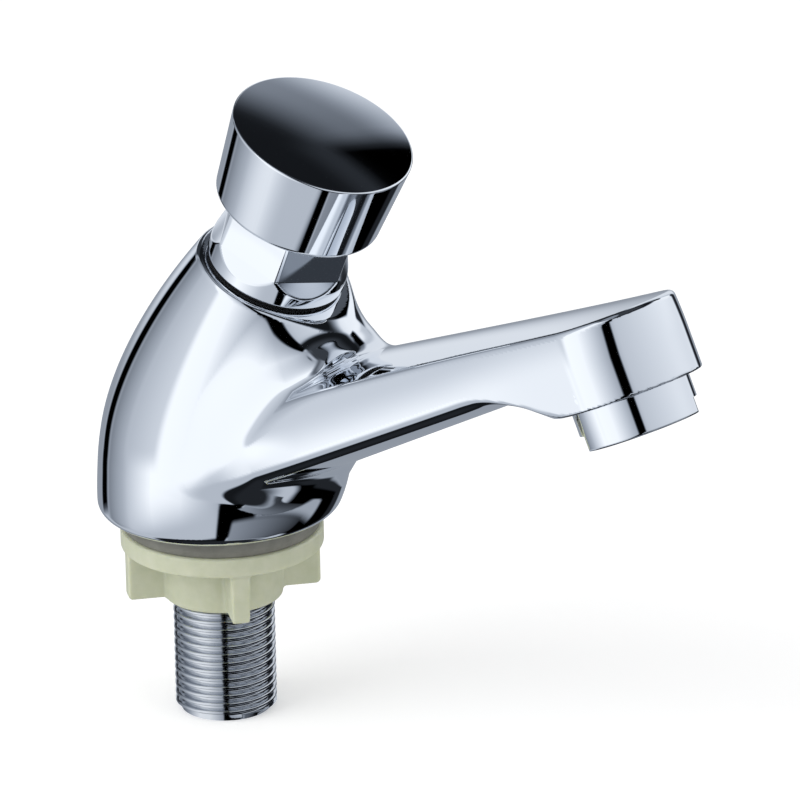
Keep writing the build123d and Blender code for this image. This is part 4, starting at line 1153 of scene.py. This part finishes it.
# %% Backnut field
NUT_TOP = -GASKET_THICKNESS
FLANGE_RADIUS, FLANGE_THICKNESS = 20.9, 4.2
HUB_RADIUS, HUB_HEIGHT = 12.8, 15.4
HUB_DRAFT = 0.035
WING_REACH, WING_HEIGHT = 20.1, 10.6
WING_HALF_THICKNESS, WING_DRAFT = 2.1, 0.03
WING_TURN = math.radians(52.5)
WING_COUNT = 4
NUT_BORE, NUT_BORE_LEAD = 10.54, 0.8
MOULD_EDGE, MOULD_FILLET = 0.55, 0.7
WING_EDGE = 0.5


def nut_field(points):
    """Flange, hub and the nearest wing, joined by fillets, less the bore with its lead-in."""
    x, y, down = points[..., 0], points[..., 1], NUT_TOP - points[..., 2]
    away = np.hypot(x, y)
    flange_ends = np.maximum(down - FLANGE_THICKNESS, -down)
    flange = smooth_most(away - FLANGE_RADIUS, flange_ends, MOULD_EDGE)
    hub_ends = np.maximum(down - HUB_HEIGHT, -down)
    hub = smooth_most(away - HUB_RADIUS + HUB_DRAFT * down, hub_ends, MOULD_EDGE)
    sector = 2.0 * math.pi / WING_COUNT
    turn = (np.arctan2(y, x) - WING_TURN + sector / 2.0) % sector - sector / 2.0
    outwards, aside = away * np.cos(turn), away * np.sin(turn)
    plate = np.abs(aside) - WING_HALF_THICKNESS + WING_DRAFT * (down - FLANGE_THICKNESS)
    ends = smooth_most(outwards - WING_REACH, down - FLANGE_THICKNESS - WING_HEIGHT, 2.0 * WING_EDGE)
    wing = np.maximum(smooth_most(plate, ends, WING_EDGE), FLANGE_THICKNESS / 2.0 - down)
    solid = smooth_least(smooth_least(flange, hub, MOULD_FILLET), wing, MOULD_FILLET)
    bore = NUT_BORE + np.maximum(NUT_BORE_LEAD - np.minimum(down, HUB_HEIGHT - down), 0.0) - away
    return np.maximum(solid, bore)


print("nut", round(FLANGE_THICKNESS + WING_HEIGHT, 1), "mm high with its wings")

# %% Backnut mesh
NUT_STEP = 0.43
LOW_MARGINS, HIGH_MARGINS = (1.13, 1.13, 1.27), (1.5, 1.5, 1.2)
nut_low = (-FLANGE_RADIUS, -FLANGE_RADIUS, NUT_TOP - HUB_HEIGHT) - np.array(LOW_MARGINS)
nut_high = (FLANGE_RADIUS, FLANGE_RADIUS, NUT_TOP) + np.array(HIGH_MARGINS)
nut_mesh, nut_points = net_mesh("winged_nut", nut_field, nut_low, nut_high, NUT_STEP)
piece("winged_nut", nut_mesh, nylon, "nut", ["backnut"])
nut_mesh.set_sharp_from_angle(angle=CREASE)
print("farthest point from the surface", round(float(np.abs(nut_field(nut_points)).max()), 4), "mm")

# %% [markdown]
# ## The pieces that hardly show
#
# Cartridge, seals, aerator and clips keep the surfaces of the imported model, because almost nothing
# of them shows from outside. Each only gets the finish of its material, looked up by the name
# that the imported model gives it.

# %% Finishes by material
finish_of_slot = {
    "black_rubber": black_rubber,
    "base_rubber": base_rubber,
    "brass": brass,
    "steel": steel,
    "white_plastic": white_plastic,
    "fibre": fibre,
    "nut_plastic": nylon,
}
for entry in frame["record"]["subparts"]:
    finish = finish_of_slot.get(entry["material_slot"], turned_chrome)
    carried = nodes[entry["node"]].data
    carried.materials.clear()
    carried.materials.append(finish)
print("finishes on", len(nodes), "nodes")

# %% [markdown]
# ## The return spring
#
# A coiled steel spring under the piston brings the button back, and on the real tap its coils
# close up as the button goes down. The piece is a plain copy of the imported spring that rides
# on the body and keeps its length. Left stiff, it would stand in the piston's way.

# %% Return spring
packed_spring = nodes["return_spring"]
spring_mesh = packed_spring.data.copy()
spring_mesh.transform(packed_spring.matrix_world)
spring_mesh.name = "coil_spring"
spring_mesh.materials.clear()
spring_points = np.empty(len(spring_mesh.vertices) * 3)
spring_mesh.vertices.foreach_get("co", spring_points)
coil_spring = piece("coil_spring", spring_mesh, steel, "body", ["return_spring"])
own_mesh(coil_spring)
